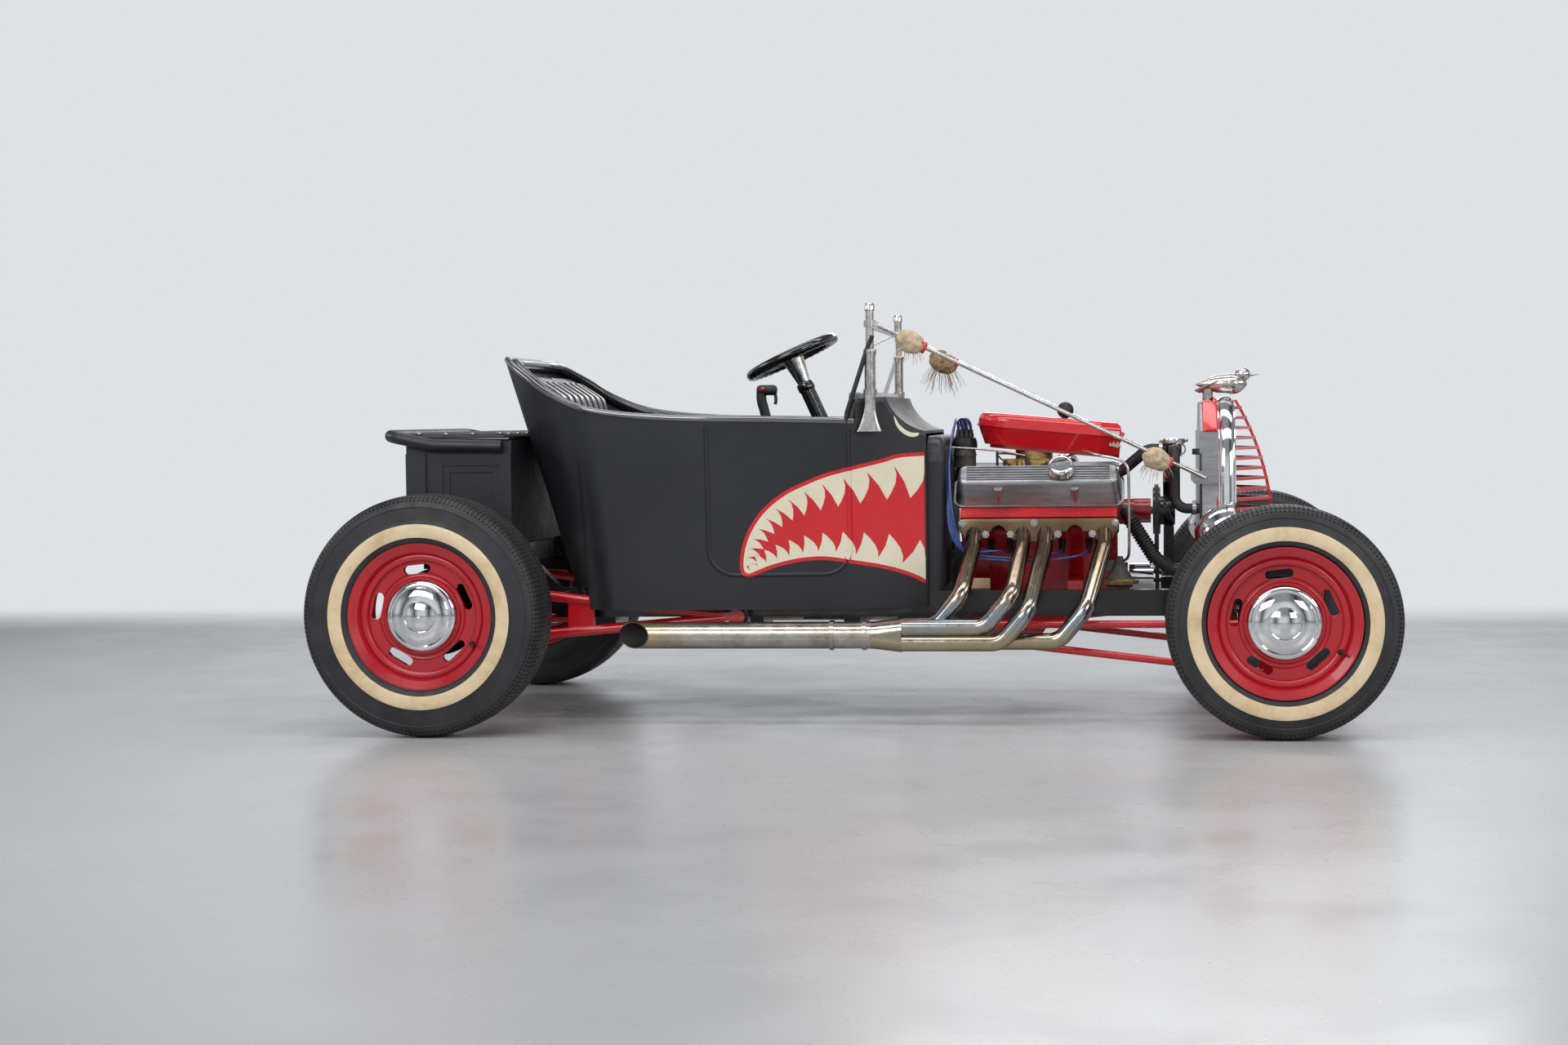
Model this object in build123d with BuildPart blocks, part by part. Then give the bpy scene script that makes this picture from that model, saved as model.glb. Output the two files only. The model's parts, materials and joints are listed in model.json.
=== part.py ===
from build123d import *
import os
from math import sin, cos, tan, radians, sqrt, atan2, degrees

os.makedirs("parts", exist_ok=True)

# Street rod roadster, 1:1, millimetres.
# +X is the front, +Y the car's left, +Z up; the origin is on the ground,
# below the middle of the outline box.

# Driving dimensions: wheels and tyres
wheelbase = 2400
front_tyre_r = 320
rear_tyre_r = 344
front_tyre_w = 200
rear_tyre_w = 236
front_track = 1446
rear_track = 1450
rim_flange_r = 207.5
rim_seat_r = 190
front_rim_w = 190
rear_rim_w = 206
rim_wall = 7
slot_count = 5
slot_r = 133
slot_len = 78
slot_w = 25
slot_phase = 12
hub_cap_r = 103
spindle_r = 26
run_fit = 0.05
seat_gap = 0.3

# Driving dimensions: frame
rail_w = 50
rail_h = 76
rail_bottom = 305
rail_y = 305
rail_front = 1050
kick_x = -880
kick_rise = 145
rail_rear = -1310
cross_h = 60
lift_x = -100
lift_len = 120
lift_t = 8
pivot_x = -346
pivot_z = 311
coil_bar_t = 18

# Driving dimensions: tub
wall = 8
tub_bottom = 335
tub_top = 1080
tub_front = 219
seam_front = -8
seam_rear = -415
floor_t = 10

# Driving dimensions: steering
kingpin_y = 590
kingpin_z = 320
kingpin_r = 10
arm_rear = 120
arm_drag = 110
wheel_centre = (-260, 250, 1085)
wheel_tilt = 24.4
wheel_ring_r = 143
wheel_grip_r = 14
column_r = 24
shaft_r = 11

# Driving dimensions: engine and exhaust
crank_z = 400
engine_rear = 285
engine_front = 780
bank_half = 45
pipe_r = 24
main_pipe_r = 39
pipe_wall = 3
main_y = 520
main_z = 266

# Derived places
front_axle_x = (wheelbase + rear_tyre_r - front_tyre_r) / 2
rear_axle_x = front_axle_x - wheelbase
rail_top = rail_bottom + rail_h
coil_x = rear_axle_x - 6
tilt = radians(wheel_tilt)
down = Vector(sin(tilt), 0, -cos(tilt))
hub_c = Vector(*wheel_centre)
column_plane = Plane(origin=hub_c, x_dir=(0, 1, 0), z_dir=down)


def tube(points, radius, bend, bore=0):
    """A round tube along straight runs joined by tangent arcs."""
    with BuildPart() as made:
        with BuildLine() as path:
            if len(points) > 2:
                FilletPolyline(*points, radius=bend)
            else:
                Line(*points)
        with BuildSketch(Plane(origin=path.line @ 0, z_dir=path.line % 0)):
            Circle(radius)
            if bore:
                Circle(bore, mode=Mode.SUBTRACT)
        sweep()
    return made.part


def dome_mid(edge_r, base, rise):
    """Middle point of a spherical cap's profile: (radius, height)."""
    ball = (edge_r**2 + rise**2) / (2 * rise)
    return edge_r / 2, base + rise - ball + sqrt(ball**2 - (edge_r / 2) ** 2)


def save(shape, name):
    shape.label = name
    export_step(shape, "parts/" + name + ".step")


# Wheels and tyres
wheel_table = [
    # name, x, half track, side, tyre radius, tyre width, rim width
    ("front_right", front_axle_x, front_track / 2, -1, front_tyre_r, front_tyre_w, front_rim_w),
    ("front_left", front_axle_x, front_track / 2, 1, front_tyre_r, front_tyre_w, front_rim_w),
    ("rear_right", rear_axle_x, rear_track / 2, -1, rear_tyre_r, rear_tyre_w, rear_rim_w),
    ("rear_left", rear_axle_x, rear_track / 2, 1, rear_tyre_r, rear_tyre_w, rear_rim_w),
]

hub_face = 34
for name, x, half, side, tyre_r, tyre_w, rim_w in wheel_table:
    h = rim_w / 2
    # the wheel's own plane: sketch x is the radius, sketch y points outboard
    spin = Plane(origin=(x, side * half, tyre_r), x_dir=(1, 0, 0), z_dir=(0, 0, side))
    axle_axis = Axis((x, side * half, tyre_r), (0, 1, 0))
    face_plane = Plane(origin=(x, side * half, tyre_r), x_dir=(side, 0, 0), z_dir=(0, side, 0))
    seat = rim_seat_r
    with BuildPart() as rim:
        with BuildSketch(spin):
            with BuildLine():
                Polyline(
                    (spindle_r + run_fit, h - hub_face),
                    (spindle_r + run_fit, h - hub_face - 16),
                    (hub_cap_r + 6, h - hub_face - 16),
                    (hub_cap_r + 14, h - hub_face - 24),
                    (seat - 34, h - hub_face - 24),
                    (seat - rim_wall - 6, h - hub_face - 34),
                    (seat - rim_wall - 6, -h + 62),
                    (seat - rim_wall, -h + 48),
                    (seat - rim_wall, -h + 12),
                    (rim_flange_r - 4, -h),
                    (rim_flange_r, -h),
                    (rim_flange_r, -h + 6),
                    (seat, -h + 12),
                    (seat, -h + 44),
                    (seat - 6, -h + 60),
                    (seat - 6, h - 56),
                    (seat, h - 44),
                    (seat, h - 12),
                    (rim_flange_r, h - 6),
                    (rim_flange_r, h),
                    (rim_flange_r - 4, h),
                    (seat - rim_wall, h - 12),
                    (seat - rim_wall - 6, h - 26),
                )
                # a rolled shoulder, the flat that the slots pass through and a groove round the cap's seat
                ThreePointArc(
                    (seat - rim_wall - 6, h - 26),
                    (seat - rim_wall - 16, h - 22),
                    (seat - 34, h - hub_face - 4),
                )
                Line((seat - 34, h - hub_face - 4), (hub_cap_r + 22, h - hub_face - 4))
                ThreePointArc(
                    (hub_cap_r + 22, h - hub_face - 4),
                    (hub_cap_r + 14, h - hub_face - 9),
                    (hub_cap_r + 6, h - hub_face),
                )
                Line((hub_cap_r + 6, h - hub_face), (spindle_r + run_fit, h - hub_face))
            make_face()
        revolve(axis=axle_axis)
        with BuildSketch(face_plane):
            with PolarLocations(slot_r, slot_count, start_angle=slot_phase * side):
                SlotOverall(slot_len, slot_w, rotation=90)
        extrude(amount=rim_w, both=True, mode=Mode.SUBTRACT)
    save(rim.part, "wheel_" + name)

    sole = tyre_w * 0.36
    with BuildPart() as tyre:
        with BuildSketch(spin):
            with BuildLine():
                Polyline((seat + seat_gap, h - 13), (rim_flange_r + 4, h - 10))
                ThreePointArc(
                    (rim_flange_r + 4, h - 10),
                    ((rim_flange_r + tyre_r) / 2, tyre_w / 2),
                    (tyre_r - 22, tyre_w / 2 - 10),
                )
                Polyline(
                    (tyre_r - 22, tyre_w / 2 - 10),
                    (tyre_r - 4, sole + 10),
                    (tyre_r, sole),
                    (tyre_r, -sole),
                    (tyre_r - 4, -sole - 10),
                    (tyre_r - 22, -tyre_w / 2 + 10),
                )
                ThreePointArc(
                    (tyre_r - 22, -tyre_w / 2 + 10),
                    ((rim_flange_r + tyre_r) / 2, -tyre_w / 2),
                    (rim_flange_r + 4, -h + 10),
                )
                Polyline(
                    (rim_flange_r + 4, -h + 10),
                    (seat + seat_gap, -h + 13),
                    (seat + seat_gap, -h + 32),
                    (rim_flange_r + 6, -h + 26),
                    (tyre_r - 30, -tyre_w / 2 + 24),
                    (tyre_r - 14, -sole + 4),
                    (tyre_r - 14, sole - 4),
                    (tyre_r - 30, tyre_w / 2 - 24),
                    (rim_flange_r + 6, h - 26),
                    (seat + seat_gap, h - 32),
                    (seat + seat_gap, h - 13),
                )
            make_face()
        revolve(axis=axle_axis)
    save(tyre.part, "tyre_" + name)

    base = h - hub_face
    with BuildPart() as cap:
        with BuildSketch(spin):
            with BuildLine():
                Polyline(
                    (0, base + 2),
                    (hub_cap_r - 6, base + 2),
                    (hub_cap_r - 6, base),
                    (hub_cap_r, base),
                    (hub_cap_r, base + 8),
                )
                ThreePointArc((hub_cap_r, base + 8), (hub_cap_r - 6, base + 16), (hub_cap_r - 16, base + 20))
                Line((hub_cap_r - 16, base + 20), (hub_cap_r - 20, base + 18))
                ThreePointArc(
                    (hub_cap_r - 20, base + 18), (hub_cap_r - 36, base + 26), (hub_cap_r - 58, base + 30)
                )
                Line((hub_cap_r - 58, base + 30), (hub_cap_r - 60, base + 28))
                ThreePointArc(
                    (hub_cap_r - 60, base + 28), dome_mid(hub_cap_r - 60, base + 28, 11), (0, base + 39)
                )
                Line((0, base + 39), (0, base + 2))
            make_face()
        revolve(axis=axle_axis)
    save(cap.part, "hub_cap_" + name)

# Frame and springs
with BuildPart() as rails:
    with BuildSketch(Plane.XZ.offset(-(rail_y - rail_w / 2))):
        with BuildLine():
            Polyline(
                (rail_front, rail_bottom + 16),
                (rail_front - 40, rail_bottom),
                (kick_x - 20, rail_bottom),
                (kick_x - 20 - kick_rise, rail_bottom + kick_rise),
                (rail_rear, rail_bottom + kick_rise),
                (rail_rear, rail_top + kick_rise),
                (kick_x - kick_rise, rail_top + kick_rise),
                (kick_x, rail_top),
                (rail_front, rail_top),
                close=True,
            )
        make_face()
    extrude(amount=-rail_w)
    with BuildSketch(Plane.XY.offset(rail_bottom)):
        with Locations((lift_x, rail_y)):
            Rectangle(lift_len, rail_w - 10)
    extrude(amount=-lift_t)
    mirror(about=Plane.XZ)
save(rails.part, "frame_rails")

cross_table = [
    # x centre, depth along x, z bottom, height, drop at the middle
    (rail_front - 38, 76, rail_bottom + 8, cross_h, 0),
    (-40, 50, rail_bottom + 8, cross_h, 68),
    (pivot_x, 70, rail_bottom + 8, cross_h, 68),
    (-800, 60, rail_bottom + 8, cross_h, 68),
    (-1060, 50, rail_bottom + kick_rise + 8, cross_h, 0),
    (coil_x, 50, rail_top + kick_rise - coil_bar_t, coil_bar_t, 0),
]
inner_y = rail_y - rail_w / 2
with BuildPart() as crosses:
    for cx, cl, cz, ch, dip in cross_table:
        with BuildSketch(Plane.YZ.offset(cx - cl / 2)):
            with BuildLine():
                Polyline(
                    (-inner_y, cz), (-120, cz), (-90, cz - dip), (90, cz - dip), (120, cz), (inner_y, cz),
                    (inner_y, cz + ch), (104, cz + ch), (74, cz + ch - dip * 1.3), (-74, cz + ch - dip * 1.3),
                    (-104, cz + ch), (-inner_y, cz + ch), close=True,
                )
            make_face()
        extrude(amount=cl)
save(crosses.part, "frame_crossmembers")

# transverse leaf spring ahead of the front crossmember
spring_x = 1128
spring_w = 44
leaf_t = 8
leaf_table = [(0, 700), (1, 560), (2, 430), (3, 300), (4, 180)]
spring_sag = 54
spring_z = rail_bottom + 8
with BuildPart() as spring:
    for i, span in leaf_table:
        z0 = spring_z + i * leaf_t
        drop = spring_sag * (span / leaf_table[0][1]) ** 2
        with BuildSketch(Plane.YZ.offset(spring_x - spring_w / 2)):
            with BuildLine():
                ThreePointArc((-span / 2, z0 - drop), (0, z0), (span / 2, z0 - drop))
                Line((span / 2, z0 - drop), (span / 2, z0 - drop + leaf_t))
                ThreePointArc(
                    (span / 2, z0 - drop + leaf_t), (0, z0 + leaf_t), (-span / 2, z0 - drop + leaf_t)
                )
                Line((-span / 2, z0 - drop + leaf_t), (-span / 2, z0 - drop))
            make_face()
        extrude(amount=spring_w)

# spring perch: a box bracket from the front crossmember over the spring pack
perch_back = rail_front
perch_top = spring_z + 5 * leaf_t
with BuildPart() as perch:
    with BuildSketch(Plane.XZ.offset(-95)):
        with BuildLine():
            Polyline(
                (perch_back, rail_bottom + 8),
                (spring_x - spring_w / 2 - 6, rail_bottom + 8),
                (spring_x - spring_w / 2 - 6, perch_top + seat_gap),
                (spring_x + spring_w / 2 + 6, perch_top + seat_gap),
                (spring_x + spring_w / 2 + 6, perch_top + 18),
                (perch_back, perch_top + 18),
                close=True,
            )
        make_face()
    extrude(amount=190)

# dropped tube axle with kingpin bosses
axle_r = 22
axle_low = 217
boss_r = 21
boss_h = 66
axle_run = [
    (front_axle_x, -kingpin_y + 6, kingpin_z - 4),
    (front_axle_x, -kingpin_y + 60, kingpin_z - 10),
    (front_axle_x, -kingpin_y + 130, axle_low),
    (front_axle_x, kingpin_y - 130, axle_low),
    (front_axle_x, kingpin_y - 60, kingpin_z - 10),
    (front_axle_x, kingpin_y - 6, kingpin_z - 4),
]
with BuildPart() as axle:
    add(tube(axle_run, axle_r, 50))
    with BuildSketch(Plane.XY.offset(kingpin_z - boss_h / 2)):
        with Locations((front_axle_x, kingpin_y), (front_axle_x, -kingpin_y)):
            Circle(boss_r)
    extrude(amount=boss_h)
    with BuildSketch(Plane.XY.offset(kingpin_z - boss_h / 2)):
        with Locations((front_axle_x, kingpin_y), (front_axle_x, -kingpin_y)):
            Circle(kingpin_r + run_fit)
    extrude(amount=boss_h, mode=Mode.SUBTRACT)
save(axle.part, "front_axle")

# hairpin radius rods, one tube bent back on itself each side
hairpin_y = 420
hairpin_r = 11
wing_t = 12
rod_front = front_axle_x - 40
with BuildPart() as hairpins:
    add(
        tube(
            [
                (rod_front, hairpin_y, 288),
                (363, hairpin_y, 288),
                (363, hairpin_y, 243),
                (rod_front, hairpin_y, 150),
            ],
            hairpin_r,
            18,
        )
    )
    mirror(about=Plane.XZ)

# plates welded on the rod ends clamp the axle
with BuildPart() as wings:
    with BuildSketch(Plane.XZ.offset(-(hairpin_y - wing_t / 2))):
        with BuildLine():
            Polyline(
                (rod_front - 12, 128),
                (front_axle_x + 24, 150),
                (front_axle_x + 40, axle_low + 4),
                (front_axle_x + 24, 296),
                (rod_front - 12, 312),
                close=True,
            )
        make_face()
        with Locations((front_axle_x, axle_low)):
            Circle(axle_r + seat_gap, mode=Mode.SUBTRACT)
    extrude(amount=-wing_t)
    mirror(about=Plane.XZ)

# brackets from the rails to the rear ends of the hairpins
bracket_low = 245
with BuildPart() as hairpin_mounts:
    with BuildSketch(Plane.XY.offset(bracket_low)):
        with Locations((318, (rail_y + hairpin_y) / 2 + 7)):
            Rectangle(28, hairpin_y - rail_y + 14)
    extrude(amount=rail_bottom - seat_gap - bracket_low)
    with BuildSketch(Plane.YZ.offset(330)):
        with Locations((hairpin_y, 265)):
            Circle(9)
    extrude(amount=363 - hairpin_r - seat_gap - 330)
    mirror(about=Plane.XZ)

# Rear axle, ladder bars and coil-overs
housing_r = 38
diff_r = 128
with BuildPart() as rear_axle:
    with BuildSketch(Plane.XZ.offset(-(rear_track / 2 - 150))):
        with Locations((rear_axle_x, rear_tyre_r)):
            Circle(housing_r)
    extrude(amount=rear_track - 300)
    with BuildSketch(Plane.YZ.offset(rear_axle_x - 90)):
        with Locations((0, rear_tyre_r)):
            Circle(diff_r)
    extrude(amount=180)
    with BuildSketch(Plane.YZ.offset(rear_axle_x + 90)):
        with Locations((0, rear_tyre_r)):
            Circle(70)
    extrude(amount=90, taper=12)
    fillet(rear_axle.edges().filter_by(GeomType.CIRCLE).group_by(Axis.X)[0], 50)
    with BuildSketch(Plane.XZ.offset(-(rear_track / 2 - 104))):
        with Locations((rear_axle_x, rear_tyre_r)):
            Circle(126)
    extrude(amount=46)
    with BuildSketch(Plane.XZ.offset((rear_track / 2 - 104))):
        with Locations((rear_axle_x, rear_tyre_r)):
            Circle(126)
    extrude(amount=-46)
    with BuildSketch(Plane.XZ.offset(-(rear_track / 2 + rear_rim_w / 2 - hub_face - 2))):
        with Locations((rear_axle_x, rear_tyre_r)):
            Circle(spindle_r)
    extrude(amount=rear_track + rear_rim_w - 2 * hub_face - 4)
save(rear_axle.part, "rear_axle")

# ladder bars
bar_y = 400
bar_r = 15
with BuildPart() as ladder:
    for end_z, tip in ((398, 5), (240, -5)):
        add(
            tube(
                [(pivot_x - 40, bar_y, pivot_z + tip), (rear_axle_x + 46, bar_y, end_z)],
                bar_r,
                0,
            )
        )
    with BuildSketch(Plane.XZ.offset(-(bar_y - 5))):
        with BuildLine():
            Polyline((-773, 268), (-773, 362), (-852, 372), (-852, 258), close=True)
        make_face()
    extrude(amount=-10)
    with BuildSketch(Plane.XZ.offset(-(bar_y - 7))):
        with BuildLine():
            Polyline(
                (rear_axle_x + 50, 215),
                (rear_axle_x + 50, 425),
                (rear_axle_x - 30, 425),
                (rear_axle_x - 60, rear_tyre_r),
                (rear_axle_x - 30, 215),
                close=True,
            )
        make_face()
        with Locations((rear_axle_x, rear_tyre_r)):
            Circle(housing_r + seat_gap, mode=Mode.SUBTRACT)
    extrude(amount=-14)
    with BuildSketch(Plane.XZ.offset(-(bar_y - 14))):
        with Locations((pivot_x, pivot_z)):
            Circle(22)
        with Locations((pivot_x - 30, pivot_z)):
            Rectangle(44, 26)
    extrude(amount=-28)
    mirror(about=Plane.XZ)
with BuildPart() as rods:
    add(hairpins.part)
    add(wings.part)
    add(ladder.part)
save(rods.part, "radius_rods")

with BuildPart() as bar_mounts:
    with BuildSketch(Plane.XY.offset(pivot_z - 30)):
        with Locations((pivot_x, (rail_y + rail_w / 2 + bar_y - 14) / 2)):
            Rectangle(56, bar_y - 14 - seat_gap - rail_y - rail_w / 2)
    extrude(amount=60)
    mirror(about=Plane.XZ)

# coil-over units between the rear axle and the kicked-up rails
coil_y = 240
coil_r = 34
coil_low = rear_tyre_r + housing_r + seat_gap
coil_top = rail_top + kick_rise - coil_bar_t - seat_gap
coil_foot = 24
coil_turns = 7
coil_pitch = (coil_top - coil_low - coil_foot) / coil_turns
with BuildPart() as coils:
    with BuildSketch(Plane.XY.offset(coil_low)):
        with Locations((coil_x, coil_y)):
            Circle(20)
    extrude(amount=coil_foot)
    for k in range(coil_turns):
        with BuildSketch(Plane.XY.offset(coil_low + coil_foot + k * coil_pitch)):
            with Locations((coil_x, coil_y)):
                Circle(coil_r if k % 2 == 0 else coil_r - 8)
        extrude(amount=coil_pitch)
    mirror(about=Plane.XZ)
with BuildPart() as springs:
    add(spring.part)
    add(coils.part)
save(springs.part, "springs")

# Tub
plan_table = {
    # corner: (half width at the bottom, half width at the top)
    "front": (345, 378),
    "cowl": (425, 478),
    "door": (470, 534),
    "rear": (130, 190),
}
rear_bottom_x = -856
rear_top_x = -1074
bend_bottom_x = -690
bend_top_x = -760
corner_share = 0.66
tub_span = 1400


def tub_plan(z, inset):
    """Plan outline of the tub at height z, moved inward by inset."""
    t = (z - tub_bottom) / (tub_top - tub_bottom)
    half = {k: a + (b - a) * t - inset for k, (a, b) in plan_table.items()}
    xr = rear_bottom_x + (rear_top_x - rear_bottom_x) * t + inset
    xb = bend_bottom_x + (bend_top_x - bend_bottom_x) * t
    xf = tub_front - inset
    yr = half["rear"] + inset
    # the rear corner is a tight side arc running tangent into a wide rear arc
    depth = xb - xr
    breadth = half["door"] - yr
    small = corner_share * depth
    large = (depth**2 + breadth**2 - 2 * breadth * small) / (2 * (depth - small))
    side_c = Vector(xb, half["door"] - small)
    rear_c = Vector(xr + large, yr)
    out = (side_c - rear_c).normalized()
    meet = side_c + out * small
    side_mid = side_c + (out + Vector(0, 1)).normalized() * small
    rear_mid = rear_c + (out + Vector(-1, 0)).normalized() * large
    with BuildSketch(Plane.XY.offset(z)) as plan:
        with BuildLine():
            Polyline((xf, -half["front"]), (xf, half["front"]), (seam_front, half["cowl"]))
            Polyline((seam_front, half["cowl"]), (seam_rear, half["door"]), (xb, half["door"]))
            ThreePointArc((xb, half["door"]), (side_mid.X, side_mid.Y), (meet.X, meet.Y))
            ThreePointArc((meet.X, meet.Y), (rear_mid.X, rear_mid.Y), (xr, yr))
            Line((xr, yr), (xr, -yr))
            ThreePointArc((xr, -yr), (rear_mid.X, -rear_mid.Y), (meet.X, -meet.Y))
            ThreePointArc((meet.X, -meet.Y), (side_mid.X, -side_mid.Y), (xb, -half["door"]))
            Polyline((xb, -half["door"]), (seam_rear, -half["door"]), (seam_front, -half["cowl"]))
            Line((seam_front, -half["cowl"]), (xf, -half["front"]))
        make_face()
    return plan.sketch


def tub_block(inset, low, high):
    with BuildPart() as block:
        add(tub_plan(low, inset))
        add(tub_plan(high, inset))
        loft(ruled=True)
    return block.part


# side view of the tub's top edge, rear to front, then the cowl's hollow sweep
top_line = [
    (-1100, 1078),
    (-1043, 1073),
    (-1002, 1045),
    (-961, 1018),
    (-908, 981),
    (-807, 934),
    (-711, 912),
    (-565, 898),
    (-422, 892),
    (-209, 887),
    (8, 880),
]
hoop_x = 12.3
hoop_top = 950
cowl_edge = 98
cowl_end = (tub_front + 1, 848)
cowl_mid = (141, 884)
cowl_round = 16

with BuildPart() as shell:
    add(tub_block(0, tub_bottom, tub_top))
    add(tub_block(wall, tub_bottom - 1, tub_top + 1), mode=Mode.SUBTRACT)
    with BuildSketch(Plane.XZ.offset(-tub_span / 2)):
        with BuildLine():
            Polyline(*top_line)
            Polyline(top_line[-1], (8, 1200), (-1100, 1200), top_line[0])
        make_face()
    extrude(amount=tub_span, mode=Mode.SUBTRACT)

with BuildPart() as body_rear:
    add(shell.part)
    split(bisect_by=Plane(origin=(seam_rear, 0, 0), z_dir=(1, 0, 0)), keep=Keep.BOTTOM)
    # clearance notches over the rails and the upper ladder bars
    with BuildSketch(Plane.YZ.offset(-920)):
        with Locations((rail_y, rail_top - 40), (-rail_y, rail_top - 40)):
            Rectangle(rail_w + 8, 90)
        with Locations((bar_y, rail_top - 40), (-bar_y, rail_top - 40)):
            Rectangle(2 * bar_r + 14, 110)
        with Locations((0, rail_top - 40)):
            Rectangle(96, 90)
    extrude(amount=175, mode=Mode.SUBTRACT)
save(body_rear.part, "body_rear")

with BuildPart() as sides:
    add(shell.part)
    split(bisect_by=Plane(origin=(seam_rear, 0, 0), z_dir=(1, 0, 0)), keep=Keep.TOP)
    split(bisect_by=Plane(origin=(seam_front, 0, 0), z_dir=(1, 0, 0)), keep=Keep.BOTTOM)
save(sides.part, "body_sides")

with BuildPart() as cowl_solid:
    add(tub_block(0, tub_bottom, tub_top))
    split(bisect_by=Plane(origin=(seam_front, 0, 0), z_dir=(1, 0, 0)), keep=Keep.TOP)
    with BuildSketch(Plane.XZ.offset(-tub_span / 2)):
        with BuildLine():
            Polyline((seam_front - 1, 880), (hoop_x, 882), (hoop_x, hoop_top), (cowl_edge, hoop_top))
            ThreePointArc((cowl_edge, hoop_top), cowl_mid, cowl_end)
            Polyline(cowl_end, (tub_front + 1, 300), (seam_front - 1, 300), (seam_front - 1, 880))
        make_face()
    extrude(amount=tub_span, mode=Mode.INTERSECT)
    shoulders = cowl_solid.edges().filter_by(lambda e: e.center().Z > 860 and abs(e.center().Y) > 300)
    fillet(shoulders.filter_by(lambda e: e.center().X > hoop_x + 20), cowl_round)
with BuildPart() as cowl_void:
    add(tub_block(wall, tub_bottom - 1, tub_top + 1))
    with BuildSketch(Plane.XZ.offset(-tub_span / 2)):
        with BuildLine():
            Polyline((seam_front - 2, 300), (seam_front - 2, tub_top), (hoop_x - 2, tub_top))
            Polyline((hoop_x - 2, tub_top), (hoop_x - 2, hoop_top - wall), (cowl_edge - 4, hoop_top - wall))
            ThreePointArc(
                (cowl_edge - 4, hoop_top - wall),
                (cowl_mid[0] - 6, cowl_mid[1] - wall + 1),
                (cowl_end[0], cowl_end[1] - wall),
            )
            Polyline((cowl_end[0], cowl_end[1] - wall), (cowl_end[0], 300), (seam_front - 2, 300))
        make_face()
    extrude(amount=tub_span, mode=Mode.INTERSECT)
with BuildPart() as cowl:
    add(cowl_solid.part)
    add(cowl_void.part, mode=Mode.SUBTRACT)
    split(bisect_by=Plane(origin=(tub_front - wall - 1, 0, 0), z_dir=(1, 0, 0)), keep=Keep.BOTTOM)
save(cowl.part, "body_cowl")

firewall_x = tub_front - wall - 1
firewall_low = rail_top + seat_gap
tunnel_front = (135, 505)
tunnel_rear = (80, 412)
tunnel_back = -95


def firewall_block(inset, depth, radius):
    with BuildPart() as block:
        with BuildSketch(Plane.YZ.offset(firewall_x)):
            with BuildLine():
                Line((inset - 330, firewall_low + inset), (330 - inset, firewall_low + inset))
                Line((330 - inset, firewall_low + inset), (345 - inset, 760))
                ThreePointArc((345 - inset, 760), (318 - inset * 0.8, 812 - inset * 0.6), (262, 834 - inset))
                Line((262, 834 - inset), (-262, 834 - inset))
                ThreePointArc((-262, 834 - inset), (inset * 0.8 - 318, 812 - inset * 0.6), (inset - 345, 760))
                Line((inset - 345, 760), (inset - 330, firewall_low + inset))
            make_face()
        extrude(amount=depth)
        fillet(block.faces().sort_by(Axis.X)[-1].edges(), radius)
    return block.part


firewall_d = 52
firewall_t = 5
with BuildPart() as firewall:
    add(firewall_block(0, firewall_d, 22))
    add(firewall_block(firewall_t, firewall_d - firewall_t, 17), mode=Mode.SUBTRACT)
    with BuildSketch(Plane.YZ.offset(firewall_x - 5)):
        with BuildLine():
            Polyline((-tunnel_front[0], firewall_low - 20), (-tunnel_front[0], 440))
            ThreePointArc((-tunnel_front[0], 440), (0, tunnel_front[1] + 20), (tunnel_front[0], 440))
            Polyline(
                (tunnel_front[0], 440),
                (tunnel_front[0], firewall_low - 20),
                (-tunnel_front[0], firewall_low - 20),
            )
        make_face()
    extrude(amount=70, mode=Mode.SUBTRACT)
save(firewall.part, "firewall")


def tunnel_arch(x, half, top, low):
    with BuildSketch(Plane.YZ.offset(x)) as arch:
        with BuildLine():
            Polyline((-half, low), (half, low), (half, (low + top) / 2))
            ThreePointArc((half, (low + top) / 2), (0, top), (-half, (low + top) / 2))
            Line((-half, (low + top) / 2), (-half, low))
        make_face()
    return arch.sketch


floor_front = firewall_x - seat_gap
with BuildPart() as tunnel_outer:
    add(tunnel_arch(floor_front, tunnel_front[0], tunnel_front[1], rail_top))
    add(tunnel_arch(tunnel_back, tunnel_rear[0], tunnel_rear[1], rail_top))
    loft(ruled=True)
with BuildPart() as tunnel_inner:
    add(tunnel_arch(floor_front + 1, tunnel_front[0] - 5, tunnel_front[1] - 5, rail_top - 1))
    add(tunnel_arch(tunnel_back + 5, tunnel_rear[0] - 5, tunnel_rear[1] - 5, rail_top - 1))
    loft(ruled=True)
with BuildPart() as floor:
    add(tub_block(wall + seat_gap, tub_bottom, tub_top))
    with BuildSketch(Plane.XY.offset(rail_top)):
        Rectangle(wheelbase, tub_span)
    extrude(amount=floor_t, mode=Mode.INTERSECT)
    split(bisect_by=Plane(origin=(floor_front, 0, 0), z_dir=(1, 0, 0)), keep=Keep.BOTTOM)
    add(tunnel_outer.part)
    add(tunnel_inner.part, mode=Mode.SUBTRACT)
    with BuildSketch(column_plane):
        Circle(column_r + 6)
    extrude(amount=1000, mode=Mode.SUBTRACT)
save(floor.part, "body_floor")

with BuildPart() as dash:
    add(tub_block(wall + seat_gap, tub_bottom, tub_top))
    with BuildSketch(Plane.YZ.offset(-6)):
        with Locations((0, 882)):
            RectangleRounded(900, 164, 36)
    extrude(amount=18, mode=Mode.INTERSECT)
save(dash.part, "dashboard")

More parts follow.
